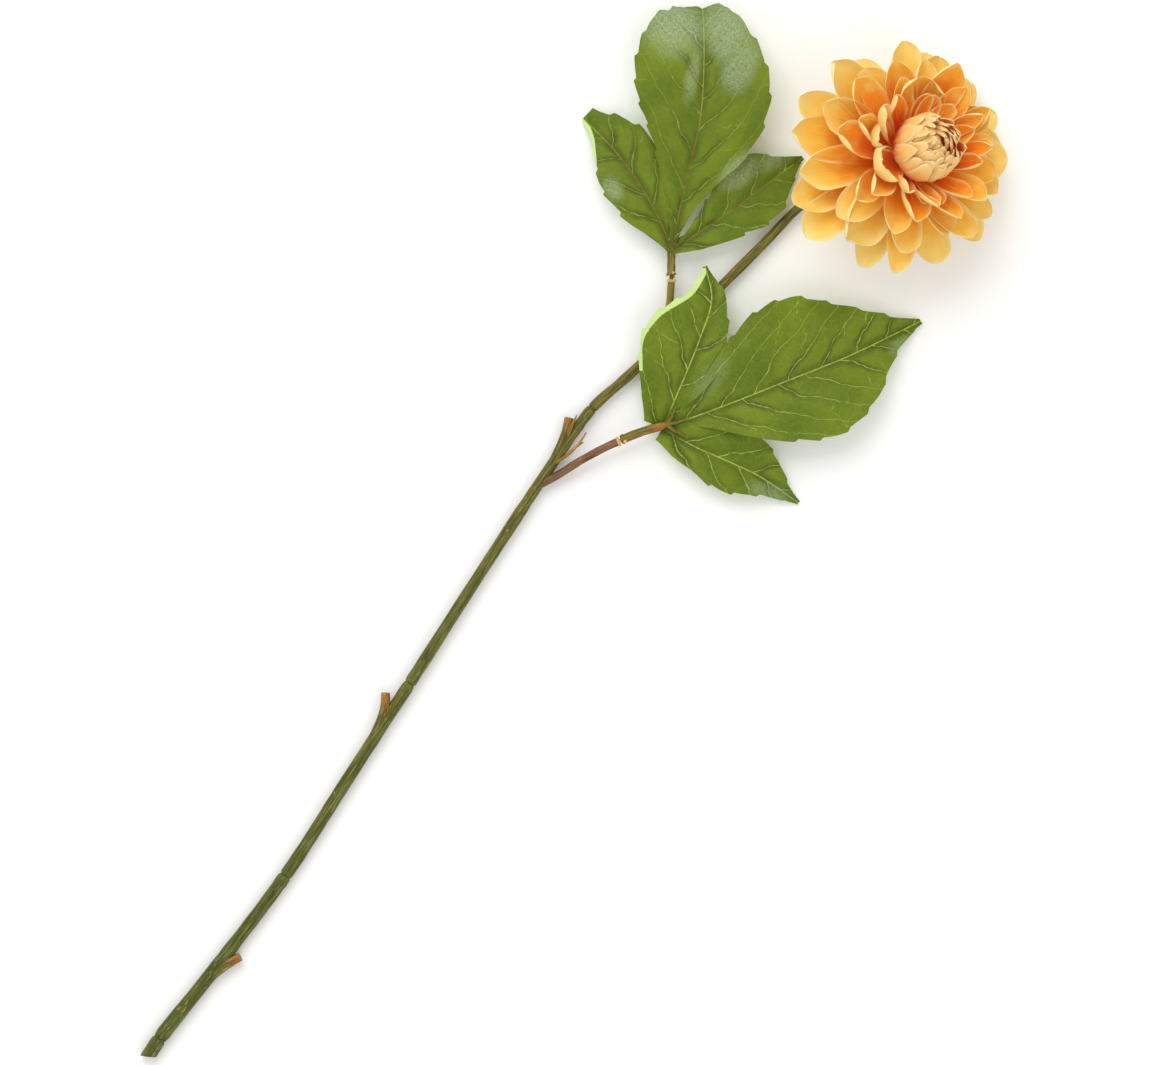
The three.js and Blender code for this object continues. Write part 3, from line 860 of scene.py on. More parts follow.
# %% Lines of the ribs and their prongs
LOWER_HUB = (0.4, 63.4, 10.2)
UPPER_HUB = (-49.6, 126.6, 6.6)
RIBS = {  # radius, socket line, and the three prongs
    "lower_leaf_rib": (
        2.0,
        [(-10.9, 45, 8.0), (-6, 54, 8.6), LOWER_HUB],
        [
            [LOWER_HUB, (-0.2, 67.2, 11.1), (-1.4, 72.6, 12.1)],
            [LOWER_HUB, (2.8, 66.6, 11.1), (6.6, 71.9, 12.0)],
            [LOWER_HUB, (4.2, 63.6, 10.9), (9.4, 64.4, 11.3)],
        ],
    ),
    "upper_leaf_rib": (
        1.9,
        [(-41.1, 116.2, 6.8), (-45.6, 121.6, 6.8), UPPER_HUB],
        [
            [UPPER_HUB, (-54.0, 127.6, 7.4), (-58.4, 129.4, 9.2)],
            [UPPER_HUB, (-51.8, 130.6, 8.4), (-54.2, 134.8, 10.6)],
            [UPPER_HUB, (-48.8, 130.6, 8.0), (-47.6, 135.0, 10.2)],
        ],
    ),
}


# %% Beads of glue
GLUE_BEADS = 5


def glue_bead(name, place, radius):
    """A small irregular bead: a ball of few faces, jittered and rounded again."""
    bpy.ops.object.select_all(action="DESELECT")
    bpy.ops.mesh.primitive_ico_sphere_add(subdivisions=2, radius=radius, location=place)
    bead = bpy.context.active_object
    bead.name = name
    bpy.ops.object.transform_apply(location=True, rotation=True, scale=True)
    bpy.ops.object.mode_set(mode="EDIT")
    bpy.ops.mesh.select_all(action="SELECT")
    bpy.ops.transform.vertex_random(offset=radius * 0.35, seed=dice.randrange(1, 9999))
    bpy.ops.object.mode_set(mode="OBJECT")
    apply_modifier(bead, "SUBSURF", levels=1, render_levels=1)
    remember_flat(bead)
    bead.data.materials.append(collar_skin)
    take(bead)
    bpy.ops.object.shade_smooth()
    return bead


# %% The two ribs
SOCKET_RINGS = [  # share of its length, share of its radius: a lip, then slight waves
    (0, 1.0), (0.03, 1.12), (0.07, 1.1), (0.1, 0.98), (0.3, 1.0), (0.5, 0.96),
    (0.7, 1.0), (0.85, 0.92), (0.97, 0.75), (1.0, 0.5),
]
PRONG_RINGS = [(0, 1.0), (0.3, 0.95), (0.6, 0.7), (1, 0.3)]
PRONG_SIDES = 10

for node, (radius, socket, prongs) in RIBS.items():
    line = smooth_line(metres(socket))
    length = line_length(line) / MM
    rings = [(length * s, radius * share) for s, share in SOCKET_RINGS]
    parts = [bar_along(node + "_socket", line, rings, rib_skin, 0.04)]
    for k, points in enumerate(prongs):
        name = f"{node}_prong_{k}"
        prong_line = smooth_line(metres(points))
        reach = line_length(prong_line) / MM
        taper = [(reach * s, r) for s, r in PRONG_RINGS]
        parts.append(bar_along(name, prong_line, taper, rib_skin, 0.05, PRONG_SIDES))
    for k in range(GLUE_BEADS):
        spot = line[0] + Vector([dice.uniform(-2.0, 2.0) * MM for _ in range(3)])
        parts.append(glue_bead(f"{node}_glue_{k}", spot, dice.uniform(0.5, 0.9) * MM))
    hand_in(join(parts, node + "_moulding"), node)

# %% [markdown]
# ## Leaf cloth
#
# The leaves are printed cloth: a fresh green with pale veins and a fine weave that shows
# when the light grazes it. A whitish sheen, where light glances off the coating, is
# painted into the colour as a few soft spots, and shade is painted dark into the creases
# beside the veins and along the midrib. The veins could be modelled, but they are printed
# on the real one too, so a pattern draws them.
# Side veins leave the midrib forwards, so a point belongs to the vein that it reaches
# by walking back towards the midrib. The back is the plain pale cloth.

# %% Leaf finishes
VEIN_PITCH = 16 * MM  # between side veins, along the midrib
VEIN_LEAN = 1.05  # how far forward a side vein runs for each step sideways
VEIN_CURVE = 17.0  # and how much more, the further out it is, per metre
VEIN_STAGGER = 0.42  # of the pitch, between the left and the right side
VEIN_START = 6 * MM
DEEP_GREEN = (0.084, 0.132, 0.003)
FRESH_GREEN = (0.140, 0.196, 0.006)


def leaf_front(name, rib_brown, vein_strength, sheen_spots):
    """Printed face: rib_brown is how far the brown midrib reaches, in metres.

    Each sheen spot is a painted highlight: its middle, width, length, heading and
    strength.
    Shade is painted dark into the creases beside the veins. Where the attribute bare is
    above 0 the print is missing and the pale cloth shows.
    """
    finish = Finish(name, Specular_IOR_Level=0.22)
    flat = finish.attribute("flat", "Vector")
    along, aside, _ = finish.parts(flat)
    stagger = aside.sum("GREATER_THAN", aside, 0.0) * (VEIN_STAGGER * VEIN_PITCH)
    aside = abs(aside)
    place = finish.place()
    cloud = finish.noise(place, 45, 3.0)
    wander = finish.noise(place, 70, 2.0)
    lean = aside * VEIN_LEAN + aside * aside * VEIN_CURVE
    ripple = finish.noise(place, 260, 1.0)
    wriggle = (wander - 0.5) * 0.011 + (ripple - 0.5) * 0.0022
    walk = along - lean - stagger + wriggle - VEIN_START
    offset = (walk / VEIN_PITCH).to_nearest_line() * VEIN_PITCH * 0.62
    print_gap = finish.noise(place, 420, 1.0).rises(0.32, 0.62)
    strong = (0.5 + aside.falls(0.004, 0.030) * 0.4) * (0.35 + print_gap * 0.65)
    side_vein = offset.falls(0.00004, 0.00030) * strong
    fork = along - aside * 0.35 + wriggle + (cloud - 0.5) * 0.008
    fork = (fork / (VEIN_PITCH * 0.7)).to_nearest_line() * VEIN_PITCH * 0.62
    fork_vein = fork.falls(0.00008, 0.00032) * aside.rises(0.006, 0.013) * print_gap
    fork_vein = fork_vein * cloud.rises(0.42, 0.6) * 0.55
    mid_vein = aside.falls(0.00008, 0.00040) * (0.55 + print_gap * 0.45)
    warped = finish.node(
        "VectorMath",
        {"operation": "MULTIPLY_ADD"},
        {
            0: finish.node("TexNoise", {}, {"Vector": place, "Scale": 150.0}, "Color"),
            1: (0.004, 0.004, 0.0),
            2: flat,
        },
    )
    net = finish.node(
        "TexVoronoi",
        {"feature": "DISTANCE_TO_EDGE"},
        {"Vector": warped, "Scale": 230.0},
    )
    net_vein = net.falls(0.01, 0.055) * 0.07
    weave_a = finish.noise(finish.scaled(flat, 2600, 500, 1), 1.0, 1.0)
    weave_b = finish.noise(finish.scaled(flat, 500, 2600, 1), 1.0, 1.0)
    weave = (weave_a + weave_b) * 0.5
    green = finish.mix(cloud.rises(0.3, 0.7), DEEP_GREEN, FRESH_GREEN)
    green = finish.mix(weave.rises(0.4, 0.65) * 0.22, green, (0.21, 0.29, 0.025))
    # Painted shade: the green is darkened in the creases beside the side veins and along
    # the midrib, where shade falls; the same valley also presses the bump.
    valley = offset.falls(0.0002, 0.0026) * aside.falls(0.004, 0.020)
    valley = valley.or_more(aside.falls(0.0004, 0.0040) * 0.85)
    shade = valley * (0.12 + cloud.rises(0.42, 0.60) * 0.62)
    green = finish.mix(shade, green, (0.034, 0.050, 0.002))
    veins = side_vein.or_more(fork_vein).or_more(net_vein)
    green = finish.mix(veins * vein_strength, green, (0.48, 0.60, 0.12))
    green = finish.mix(mid_vein * vein_strength, green, (0.44, 0.54, 0.07))
    brown = aside.falls(0.0002, 0.0006) * along.falls(rib_brown * 0.6, rib_brown)
    brown = brown * (0.35 + print_gap * 0.5)
    green = finish.mix(brown, green, (0.135, 0.078, 0.010))
    x, y, _ = finish.parts(place)
    painted_sheen = None
    # Painted sheen: whitish highlights where light glances off the coating, painted into
    # the colour as soft spots.
    for spot, width, length, heading, amount in sheen_spots:
        middle = metres([(*spot, 0)])[0]
        c, s = math.cos(math.radians(heading)), math.sin(math.radians(heading))
        ahead = ((x - middle.x) * c + (y - middle.y) * s) / (length * MM)
        across = ((y - middle.y) * c - (x - middle.x) * s) / (width * MM)
        round_spot = ahead * ahead + across * across + (cloud - 0.5) * 1.5
        patch = round_spot.falls(-0.2, 1.3) * amount
        painted_sheen = patch if painted_sheen is None else painted_sheen.or_more(patch)
    painted_sheen = painted_sheen * (0.3 + weave.rises(0.3, 0.7) * 0.9)
    green = finish.mix(painted_sheen, green, (0.46, 0.55, 0.36))
    bare = finish.attribute("bare")
    green = finish.mix(
        (bare + (weave - 0.5) * 0.4).rises(-0.15, 0.15),
        green,
        finish.mix(cloud, (0.48, 0.66, 0.22), (0.58, 0.74, 0.30)),
    )
    height = weave * 0.3 - veins * 0.25 - valley * 0.35
    return finish.wear(
        Base_Color=green,
        Roughness=0.55 + weave * 0.16 - painted_sheen * 0.1,
        Normal=finish.bump(height, 0.0006, 0.8),
    )


# %% Finish of the leaves' pale back
def leaf_back():
    """Plain pale green cloth with its weave."""
    finish = Finish("leaf_cloth_pale_back", Specular_IOR_Level=0.25)
    flat = finish.attribute("flat", "Vector")
    weave = finish.noise(finish.scaled(flat, 1800, 600, 1), 1.0, 1.0)
    cloud = finish.noise(finish.place(), 60, 3.0)
    tint = finish.mix(cloud, (0.36, 0.52, 0.17), (0.48, 0.64, 0.24))
    tint = finish.mix(weave * 0.3, tint, (0.62, 0.74, 0.38))
    return finish.wear(
        Base_Color=tint,
        Roughness=0.62 + weave * 0.15,
        Normal=finish.bump(weave, 0.0003, 0.5),
    )


pale_back = leaf_back()

# %% [markdown]
# ## Leaves
#
# A leaf has three lobes that share a foot. It could hang by simulation, but this cloth
# is stiffened and keeps its pressed shape, so it is shaped directly. A lobe is cut from
# a flat sheet. Its columns are folded up from the midrib, and each row is sized to the
# outline, in which forward teeth are cut. The veins are pressed in and the panels
# between them swell a little. Then the lobe is bent along its midrib, and the leaf gets
# its thickness when its lobes are joined.

# %% Teeth and veins of a lobe
LOBE_ROWS = 72
LOBE_COLUMNS = 16
LOBE_MIDDLE = LOBE_COLUMNS // 2
TOOTH_PITCH = 11.5
TOOTH_DEPTH = 1.5


def lobe_points(rows, columns):
    """Numbers of a lobe's points; rows run along it and columns across it."""
    return [column * (LOBE_ROWS + 1) + row for column in columns for row in rows]


def toothed(half, along, length, start):
    """The half-width with forward teeth from the share start of the length on."""
    beyond = along - start * length
    if beyond < 0:
        return half
    saw = (beyond / TOOTH_PITCH) % 1.0
    return half - TOOTH_DEPTH * min(1.0, half / 9) * (1 - saw**1.4)


def vein_offset(along, aside):
    """How far a point lies from the nearest side vein."""
    lean = abs(aside) * VEIN_LEAN + aside * aside * VEIN_CURVE
    walk = (along - lean - VEIN_START) / VEIN_PITCH - VEIN_STAGGER * (aside > 0)
    return abs(walk - round(walk)) * VEIN_PITCH * 0.62


print("points of a lobe", (LOBE_ROWS + 1) * (LOBE_COLUMNS + 1))


# %% Shaping a lobe
VEIN_PRESS = 0.35 * MM
PANEL_SWELL = 0.4 * MM
MIDRIB_PRESS = 0.25 * MM


def lobe(name, midrib, left, right, fold, teeth=(0.36, 0.42), bare=None, wave=0.9):
    """A lobe bent along its midrib, with the half-widths of its two sides.

    The fold lifts each side, in degrees; teeth start at a share of the length on each
    side; bare is a strip without print: its side, start, stop and widths.
    """
    line = smooth_line(metres(midrib))
    length = line_length(line)
    bpy.ops.object.select_all(action="DESELECT")
    bpy.ops.mesh.primitive_grid_add(
        x_subdivisions=LOBE_ROWS, y_subdivisions=LOBE_COLUMNS, size=1
    )
    blade = bpy.context.active_object
    blade.name = name
    mesh = edit(blade)
    everything = range(len(mesh.verts))
    pick(mesh, everything)
    size(length, 2 * MM, 1)
    shift(length / 2, 0, 0)
    rows = range(LOBE_ROWS + 1)
    for sign, lift in ((1, fold[0]), (-1, fold[1])):
        for step, share in ((4, -0.5), (1, 1.15)):
            at = LOBE_MIDDLE + sign * (step - 1)
            outer = range(at + sign, LOBE_MIDDLE + sign * (LOBE_MIDDLE + 1), sign)
            pick(mesh, lobe_points(rows, outer))
            hinge = (0, (at - LOBE_MIDDLE) / LOBE_MIDDLE * MM, 0)
            turn(sign * lift * share, "X", hinge)
    for sign, halves, start in ((1, left, teeth[0]), (-1, right, teeth[1])):
        outer = range(LOBE_MIDDLE + sign, LOBE_MIDDLE + sign * (LOBE_MIDDLE + 1), sign)
        for row in rows:
            share = row / LOBE_ROWS
            along = share * length
            half = smooth_at(halves, share)
            half = toothed(half, along / MM, length / MM, start)
            pick(mesh, lobe_points([row], outer))
            size(1, max(half, 0.15), max(half, 0.15), (along, 0, 0))
        edge = [LOBE_MIDDLE + sign * k for k in (LOBE_MIDDLE - 1, LOBE_MIDDLE)]
        for row in rows:
            share = row / LOBE_ROWS
            swing = math.sin(share * 13 + sign * 1.3) * math.sin(math.pi * share)
            pick(mesh, lobe_points([row], edge))
            shift(0, 0, swing * wave * MM)
    near = [v.index for v in mesh.verts if vein_offset(v.co.x, v.co.y) < 1.2 * MM]
    pick(mesh, near)
    shift(0, 0, -VEIN_PRESS)
    panel = [v.index for v in mesh.verts if vein_offset(v.co.x, v.co.y) > 3.1 * MM]
    pick(mesh, panel)
    shift(0, 0, PANEL_SWELL)
    pick(mesh, lobe_points(rows, [LOBE_MIDDLE]))
    shift(0, 0, -MIDRIB_PRESS)
    bpy.ops.object.mode_set(mode="OBJECT")
    remember_flat(blade)
    remember_number(blade, "bare", -3.0)
    if bare:
        sign, start, stop, inner = bare
        kept = blade.data.attributes["bare"].data
        for point, value in zip(blade.data.vertices, kept):
            share = point.co.x / length
            if start <= share <= stop and point.co.y * sign > 0:
                halves = left if sign > 0 else right
                edge_at = smooth_at(halves, share) - smooth_at(inner, share)
                value.value = max(-3.0, abs(point.co.y) / MM - edge_at)
    bend_along(blade, line)
    return blade


# %% Assembling a leaf
LEAF_THICK = 0.4 * MM
LEAF_SMOOTH = math.radians(60)


def leaf(node, lobes, front):
    """Joins the lobes, prints their face and gives the cloth its thickness."""
    blades = [lobe(f"{node}_lobe_{k}", **shape) for k, shape in enumerate(lobes)]
    whole = join(blades, node + "_cloth")
    whole.data.materials.append(front)
    whole.data.materials.append(pale_back)
    apply_modifier(
        whole,
        "SOLIDIFY",
        thickness=LEAF_THICK,
        offset=-1,
        material_offset=1,
        edge_crease_inner=1,
        edge_crease_outer=1,
        edge_crease_rim=1,
    )
    apply_modifier(whole, "SUBSURF", levels=1, render_levels=1)
    take(whole)
    bpy.ops.object.shade_smooth_by_angle(angle=LEAF_SMOOTH)
    hand_in(whole, node)
    return whole


# %% Outlines of the lobes
LOWER_LOBES = [  # midrib and half-widths in millimetres, fold of the sides in degrees
    dict(
        midrib=[(0, 61, 7.2), (-5.5, 80, 10.8), (-12.6, 102, 12.6),
                (-20.2, 119.5, 11.6), (-32, 129, 9.4)],
        left=[9, 15, 21, 26, 25, 19, 12.5, 1.2],
        right=[0.8, 5, 10, 13.2, 13.2, 9.8, 5.5, 0.8],
        fold=(6, 16),
        bare=(1, 0.26, 1.0, (0.5, 1.0, 1.7, 2.6, 3.6, 4.6, 5.2, 3.0)),
    ),
    dict(
        midrib=[(0, 61, 7.2), (15.3, 87.3, 12.4), (27.8, 110.4, 14),
                (43.1, 139.2, 10.4), (58, 172.7, 1.9)],
        left=[0.8, 10, 23, 34, 36, 27, 14, 1.5],
        right=[0.8, 6, 17.5, 27.5, 32, 25, 10, 1.5],
        fold=(10, 10),
    ),
    dict(
        midrib=[(0, 61, 7.2), (15.7, 63.8, 9), (29.2, 67.7, 8.8), (47.7, 72.6, 6.2),
                (68.4, 74.8, 1.5)],
        left=[0.8, 9.5, 14, 16.5, 17, 12.5, 5.5, 1],
        right=[6, 8.5, 10.5, 14, 13.5, 9.5, 5, 1],
        fold=(12, 9),
    ),
]
UPPER_LOBES = [
    dict(
        midrib=[(-48, 124.6, 8.8), (-60.6, 131.6, 9.6), (-76.1, 137.4, 10.2),
                (-95, 142.4, 7.6), (-117, 145, 1.2)],
        left=[2, 8, 13.5, 16, 16, 11.5, 5, 1],
        right=[0.8, 4.5, 10.5, 16, 17.5, 16.5, 12.5, 7.0],
        fold=(10, 12),
        bare=(1, 0.70, 1.0, (0, 0, 0, 0, 0.6, 1.4, 2.2, 2.5)),
    ),
    dict(
        midrib=[(-48, 124.6, 8.8), (-61.2, 148.7, 12), (-75.6, 177, 16.4),
                (-92, 199.5, 16), (-105, 214.6, 9.6), (-108, 217.6, 1)],
        left=[0.8, 5, 12.5, 22.5, 30, 32, 27, 14],
        right=[0.8, 5, 14, 25, 31, 29, 20, 8],
        fold=(9, 9),
    ),
    dict(
        midrib=[(-48, 124.6, 8.8), (-43.4, 140.4, 10), (-38.8, 156.8, 10),
                (-34.4, 175.4, 7.4), (-30, 195, 2)],
        left=[0.8, 3.5, 8, 14.5, 18, 17.5, 9, 1],
        right=[2, 6.5, 10, 13, 15.5, 13.5, 7, 1],
        fold=(14, 6),
    ),
]

# %% The two leaves, with their painted sheen spots
# Each entry is a painted sheen spot, a whitish highlight painted into the leaf colour.
LOWER_SHEEN_SPOTS = [  # where, width, length, heading, amount
    ((2, 92), 6, 14, 95, 0.16),
    ((60, 160), 5, 10, 60, 0.34),
    ((56, 70), 6, 12, 20, 0.30),
]
UPPER_SHEEN_SPOTS = [
    ((-110, 200), 15, 16, 60, 0.55),
    ((-92, 216), 17, 13, 50, 0.50),
    ((-78, 209), 9, 16, 110, 0.42),
    ((-92, 192), 4, 16, 118, 0.40),
    ((-86, 129), 5, 7, 160, 0.45),
    ((-48, 171), 7, 12, 80, 0.42),
    ((-40, 187), 6, 10, 80, 0.30),
]
lower_front = leaf_front("lower_leaf_print", 0.012, 0.80, LOWER_SHEEN_SPOTS)
upper_front = leaf_front("upper_leaf_print", 0.075, 0.5, UPPER_SHEEN_SPOTS)
leaf("lower_leaf_blade", LOWER_LOBES, lower_front)
leaf("upper_leaf_blade", UPPER_LOBES, upper_front)

# %% [markdown]
# ## Petal cloth
#
# A petal is dyed: deep orange in the throat, warm yellow in the middle and cream along
# the rim, with fine streaks from the foot to the tip. Its back is paler. The dye
# follows each petal and not the whole flower, so the pattern reads the sheet's own map
# for the distance to the rim, the places kept on the flat sheet for the distance to the
# foot, and a random tone that each petal keeps. The cloth is thin: light that comes
# through makes it glow a little, and a faint emission of its own colour stands for it.


# %% Petal finishes
# Painted glow: an emission in the cloth's own colour lifts its shade, standing for light
# that comes through.
PAINTED_GLOW = 0.075  # how much light comes through the cloth


def petal_finish(name, throat, warm, body, tip, rim, stages, rim_width, length=None):
    """Dyed cloth; stages are where along the petal, in metres, the colours change.

    With a length, every petal is taken as that long.
    """
    finish = Finish(
        name,
        Specular_IOR_Level=0.18,
        Sheen_Weight=0.12,
        Subsurface_Weight=0.22,
        Subsurface_Radius=(1.0, 0.55, 0.2),
        Subsurface_Scale=0.0016,
        Emission_Strength=PAINTED_GLOW,
    )
    across, share, _ = finish.parts(finish.node("UVMap", {"uv_map": "UVMap"}, {}))
    tone = finish.attribute("tone")
    aside = abs(across * 2 - 1)
    place = finish.place()
    cloud = finish.noise(place, 130, 3.0)
    flat = finish.attribute("flat", "Vector")
    along = share * length if length else finish.parts(flat)[1]
    streaks = finish.noise(finish.scaled(flat, 1500, 90, 1), 1.0, 3.0, 0.6)
    fibre = finish.noise(finish.scaled(flat, 4200, 240, 1), 1.0, 2.0)
    blot = (cloud - 0.5) * 0.012 + (streaks - 0.5) * 0.016 + (tone - 0.5) * 0.010
    depth = along + blot + aside * aside * 0.005
    colour = finish.mix(depth.rises(*stages[0]), throat, warm)
    colour = finish.mix(depth.rises(*stages[1]), colour, body)
    colour = finish.mix(depth.rises(*stages[2]), colour, tip)
    colour = finish.mix(streaks.rises(0.45, 0.75) * 0.34, colour, body)
    paled = cloud.rises(0.5, 0.75) * along.rises(0.012, 0.03)
    colour = finish.mix(paled * 0.4, colour, tip)
    edge = aside + (streaks - 0.5) * 0.1 + (cloud - 0.5) * 0.14
    faded = 0.5 + finish.noise(place, 75, 2.0).rises(0.4, 0.62) * 0.5
    rim_mask = edge.rises(1 - rim_width, 1.0) * share.rises(0.2, 0.6) * faded
    rim_mask = rim_mask.or_more((share + (cloud - 0.5) * 0.12).rises(0.84, 1.0) * faded)
    colour = finish.mix(rim_mask * 0.95, colour, rim)
    colour = finish.mix(fibre.rises(0.5, 0.8) * 0.12, colour, rim)
    return finish.wear(
        Base_Color=colour,
        # Painted glow: the cloth emits its own colour.
        Emission_Color=colour,
        Roughness=0.62 + (streaks - 0.5) * 0.2,
        Normal=finish.bump(streaks * 0.7 + cloud * 0.4 + fibre * 0.15, 0.0008, 0.7),
    )


# %% Colours of the petals and of the bud's scales
OPEN_STAGES = [(0.006, 0.024), (0.022, 0.038), (0.036, 0.052)]
SCALE_STAGES = [(0.013, 0.019), (0.0175, 0.0235), (0.022, 0.027)]
SCALE_BACK_STAGES = [(0.007, 0.014), (0.011, 0.019), (0.018, 0.026)]
SCALE_LENGTH = 0.030
petal_face = petal_finish(
    "petal_cloth_face",
    throat=(0.80, 0.075, 0.003),
    warm=(0.88, 0.290, 0.014),
    body=(0.88, 0.500, 0.070),
    tip=(0.87, 0.630, 0.200),
    rim=(0.90, 0.710, 0.320),
    stages=OPEN_STAGES,
    rim_width=0.36,
)
petal_back = petal_finish(
    "petal_cloth_back",
    throat=(0.87, 0.440, 0.070),
    warm=(0.88, 0.560, 0.150),
    body=(0.88, 0.630, 0.220),
    tip=(0.88, 0.670, 0.270),
    rim=(0.90, 0.720, 0.340),
    stages=OPEN_STAGES,
    rim_width=0.40,
)
scale_face = petal_finish(
    "bud_cloth_face",
    throat=(0.50, 0.028, 0.006),
    warm=(0.78, 0.190, 0.025),
    body=(0.85, 0.430, 0.105),
    tip=(0.87, 0.580, 0.220),
    rim=(0.89, 0.700, 0.370),
    stages=SCALE_STAGES,
    rim_width=0.26,
    length=SCALE_LENGTH,
)
scale_back = petal_finish(
    "bud_cloth_back",
    throat=(0.55, 0.050, 0.010),
    warm=(0.82, 0.340, 0.070),
    body=(0.86, 0.490, 0.145),
    tip=(0.87, 0.590, 0.235),
    rim=(0.90, 0.710, 0.390),
    stages=SCALE_BACK_STAGES,
    rim_width=0.30,
    length=SCALE_LENGTH,
)

# %% [markdown]
# ## One petal
#
# A real petal is cut from cloth and pressed in a hot mould. It could be sculpted, but
# one sheet shaped by numbers serves all the petals. Its columns are rolled up into a
# channel, from the edge inwards, as between finger and thumb, and its rows are sized to
# the outline: a narrow foot, the widest place two thirds out, a round tip. A few soft
# creases, a wavy rim and a tip that leans make it less even. That is a pattern. Each
# copy is then bent row by row, with a little twist and swing of its own, and its rims
# are made ragged.

# %% Pattern of a petal
PETAL_COLUMNS = 8
PETAL_ROWS = 12
PETAL_MIDDLE = PETAL_COLUMNS // 2
PETAL_START = 2.7  # from the axis, where a petal's foot is moulded in
ACROSS = PETAL_COLUMNS + 1
CROWDING = 1.45  # how much the rows close up towards the tip
WIDEST = 0.68  # the share of the length where a petal is widest


def petal_points(rows, columns=range(ACROSS)):
    """Numbers of a petal's points; rows run across it, from the foot to the tip."""
    return [row * ACROSS + column for row in rows for column in columns]


def row_share(row):
    """How far along the petal a row lies: rows close up towards the tip."""
    return 1 - (1 - row / PETAL_ROWS) ** CROWDING


def outline(share, foot, point):
    """Half-width at a share of the length, of the widest."""
    climb = min(share / WIDEST, 1.0)
    swell = foot + (1 - foot) * climb * climb * (3 - 2 * climb)
    return max(swell * (1 - share**point) ** 0.56, 0.06)


# %% Rolling and cutting a pattern
def petal_pattern(
    length, half, roll, other=None, foot=0.34, point=7.0, depth=(1.35, 0.8), blunt=0.06
):
    """A rolled and cut sheet along +Y; roll lists its bends from the middle out.

    The left side can have a roll of its own, in other.
    """
    bpy.ops.object.select_all(action="DESELECT")
    bpy.ops.mesh.primitive_grid_add(
        x_subdivisions=PETAL_COLUMNS, y_subdivisions=PETAL_ROWS, size=1
    )
    sheet = bpy.context.active_object
    sheet.name = "pattern"
    other = other or roll
    totals = [sum(roll[: k + 1]) for k in range(PETAL_MIDDLE)]
    shown = sum(math.cos(math.radians(total)) for total in totals) / PETAL_MIDDLE
    half = half * MM / shown
    length = length * MM
    mesh = edit(sheet)
    pick(mesh, range(len(mesh.verts)))
    size(2 * half, length, 1)
    shift(0, length / 2, 0)
    rows = range(PETAL_ROWS + 1)
    for row in rows:
        pick(mesh, petal_points([row]))
        shift(0, length * (row_share(row) - row / PETAL_ROWS), 0)
    bpy.ops.object.mode_set(mode="OBJECT")
    remember_flat(sheet)
    mesh = edit(sheet)
    for step in range(PETAL_MIDDLE, 0, -1):
        for sign, bends in ((1, roll), (-1, other)):
            at = PETAL_MIDDLE + sign * (step - 1)
            outer = range(at + sign, PETAL_MIDDLE + sign * (PETAL_MIDDLE + 1), sign)
            pick(mesh, petal_points(rows, outer))
            hinge = (half * sign * (step - 1) / PETAL_MIDDLE, 0, 0)
            turn(-sign * bends[step - 1], "Y", hinge)
    pick(mesh, petal_points(rows, [PETAL_MIDDLE]))
    shift(0, 0, -0.06 * half)
    for row in rows:
        share = row_share(row)
        width = max(outline(share, foot, point), blunt)
        deep = width * (depth[0] + (depth[1] - depth[0]) * share)
        pick(mesh, petal_points([row]))
        size(width, 1, deep, (0, share * length, 0))
    crumple(mesh, half)
    bpy.ops.object.mode_set(mode="OBJECT")
    return sheet


# %% Creases, wavy rims and a leaning tip
def crumple(mesh, half):
    """Soft lengthwise creases, wavy rims and a tip that leans to one side."""
    skew = dice.uniform(-0.3, 0.3) * half
    creases = [(column, dice.uniform(-0.10, 0.06)) for column in (2, 3, 5, 6)]
    waves = [
        (column, dice.uniform(0.03, 0.10), dice.uniform(0, 6.3))
        for column in (0, PETAL_COLUMNS)
    ]
    for row in range(2, PETAL_ROWS + 1):
        share = row_share(row)
        pick(mesh, petal_points([row]))
        shift(skew * share**3, 0, 0)
        for column, deep in creases:
            pick(mesh, petal_points([row], [column]))
            shift(0, 0, deep * half * math.sin(math.pi * share**1.4))
        for column, high, phase in waves:
            pick(mesh, petal_points([row], [column]))
            swing = math.sin(share * 12 + phase) * share * half
            shift(high * 0.7 * swing, 0, high * swing)


# %% Bending and placing a copy
def slope_at(slopes, share):
    """The slope at a share, from (share, slope) pairs."""
    for (a, low), (b, high) in zip(slopes, slopes[1:]):
        if share <= b:
            return low + (high - low) * (share - a) / (b - a)
    return slopes[-1][1]


RAGGED_FROM = 4  # the first row whose rims are ragged


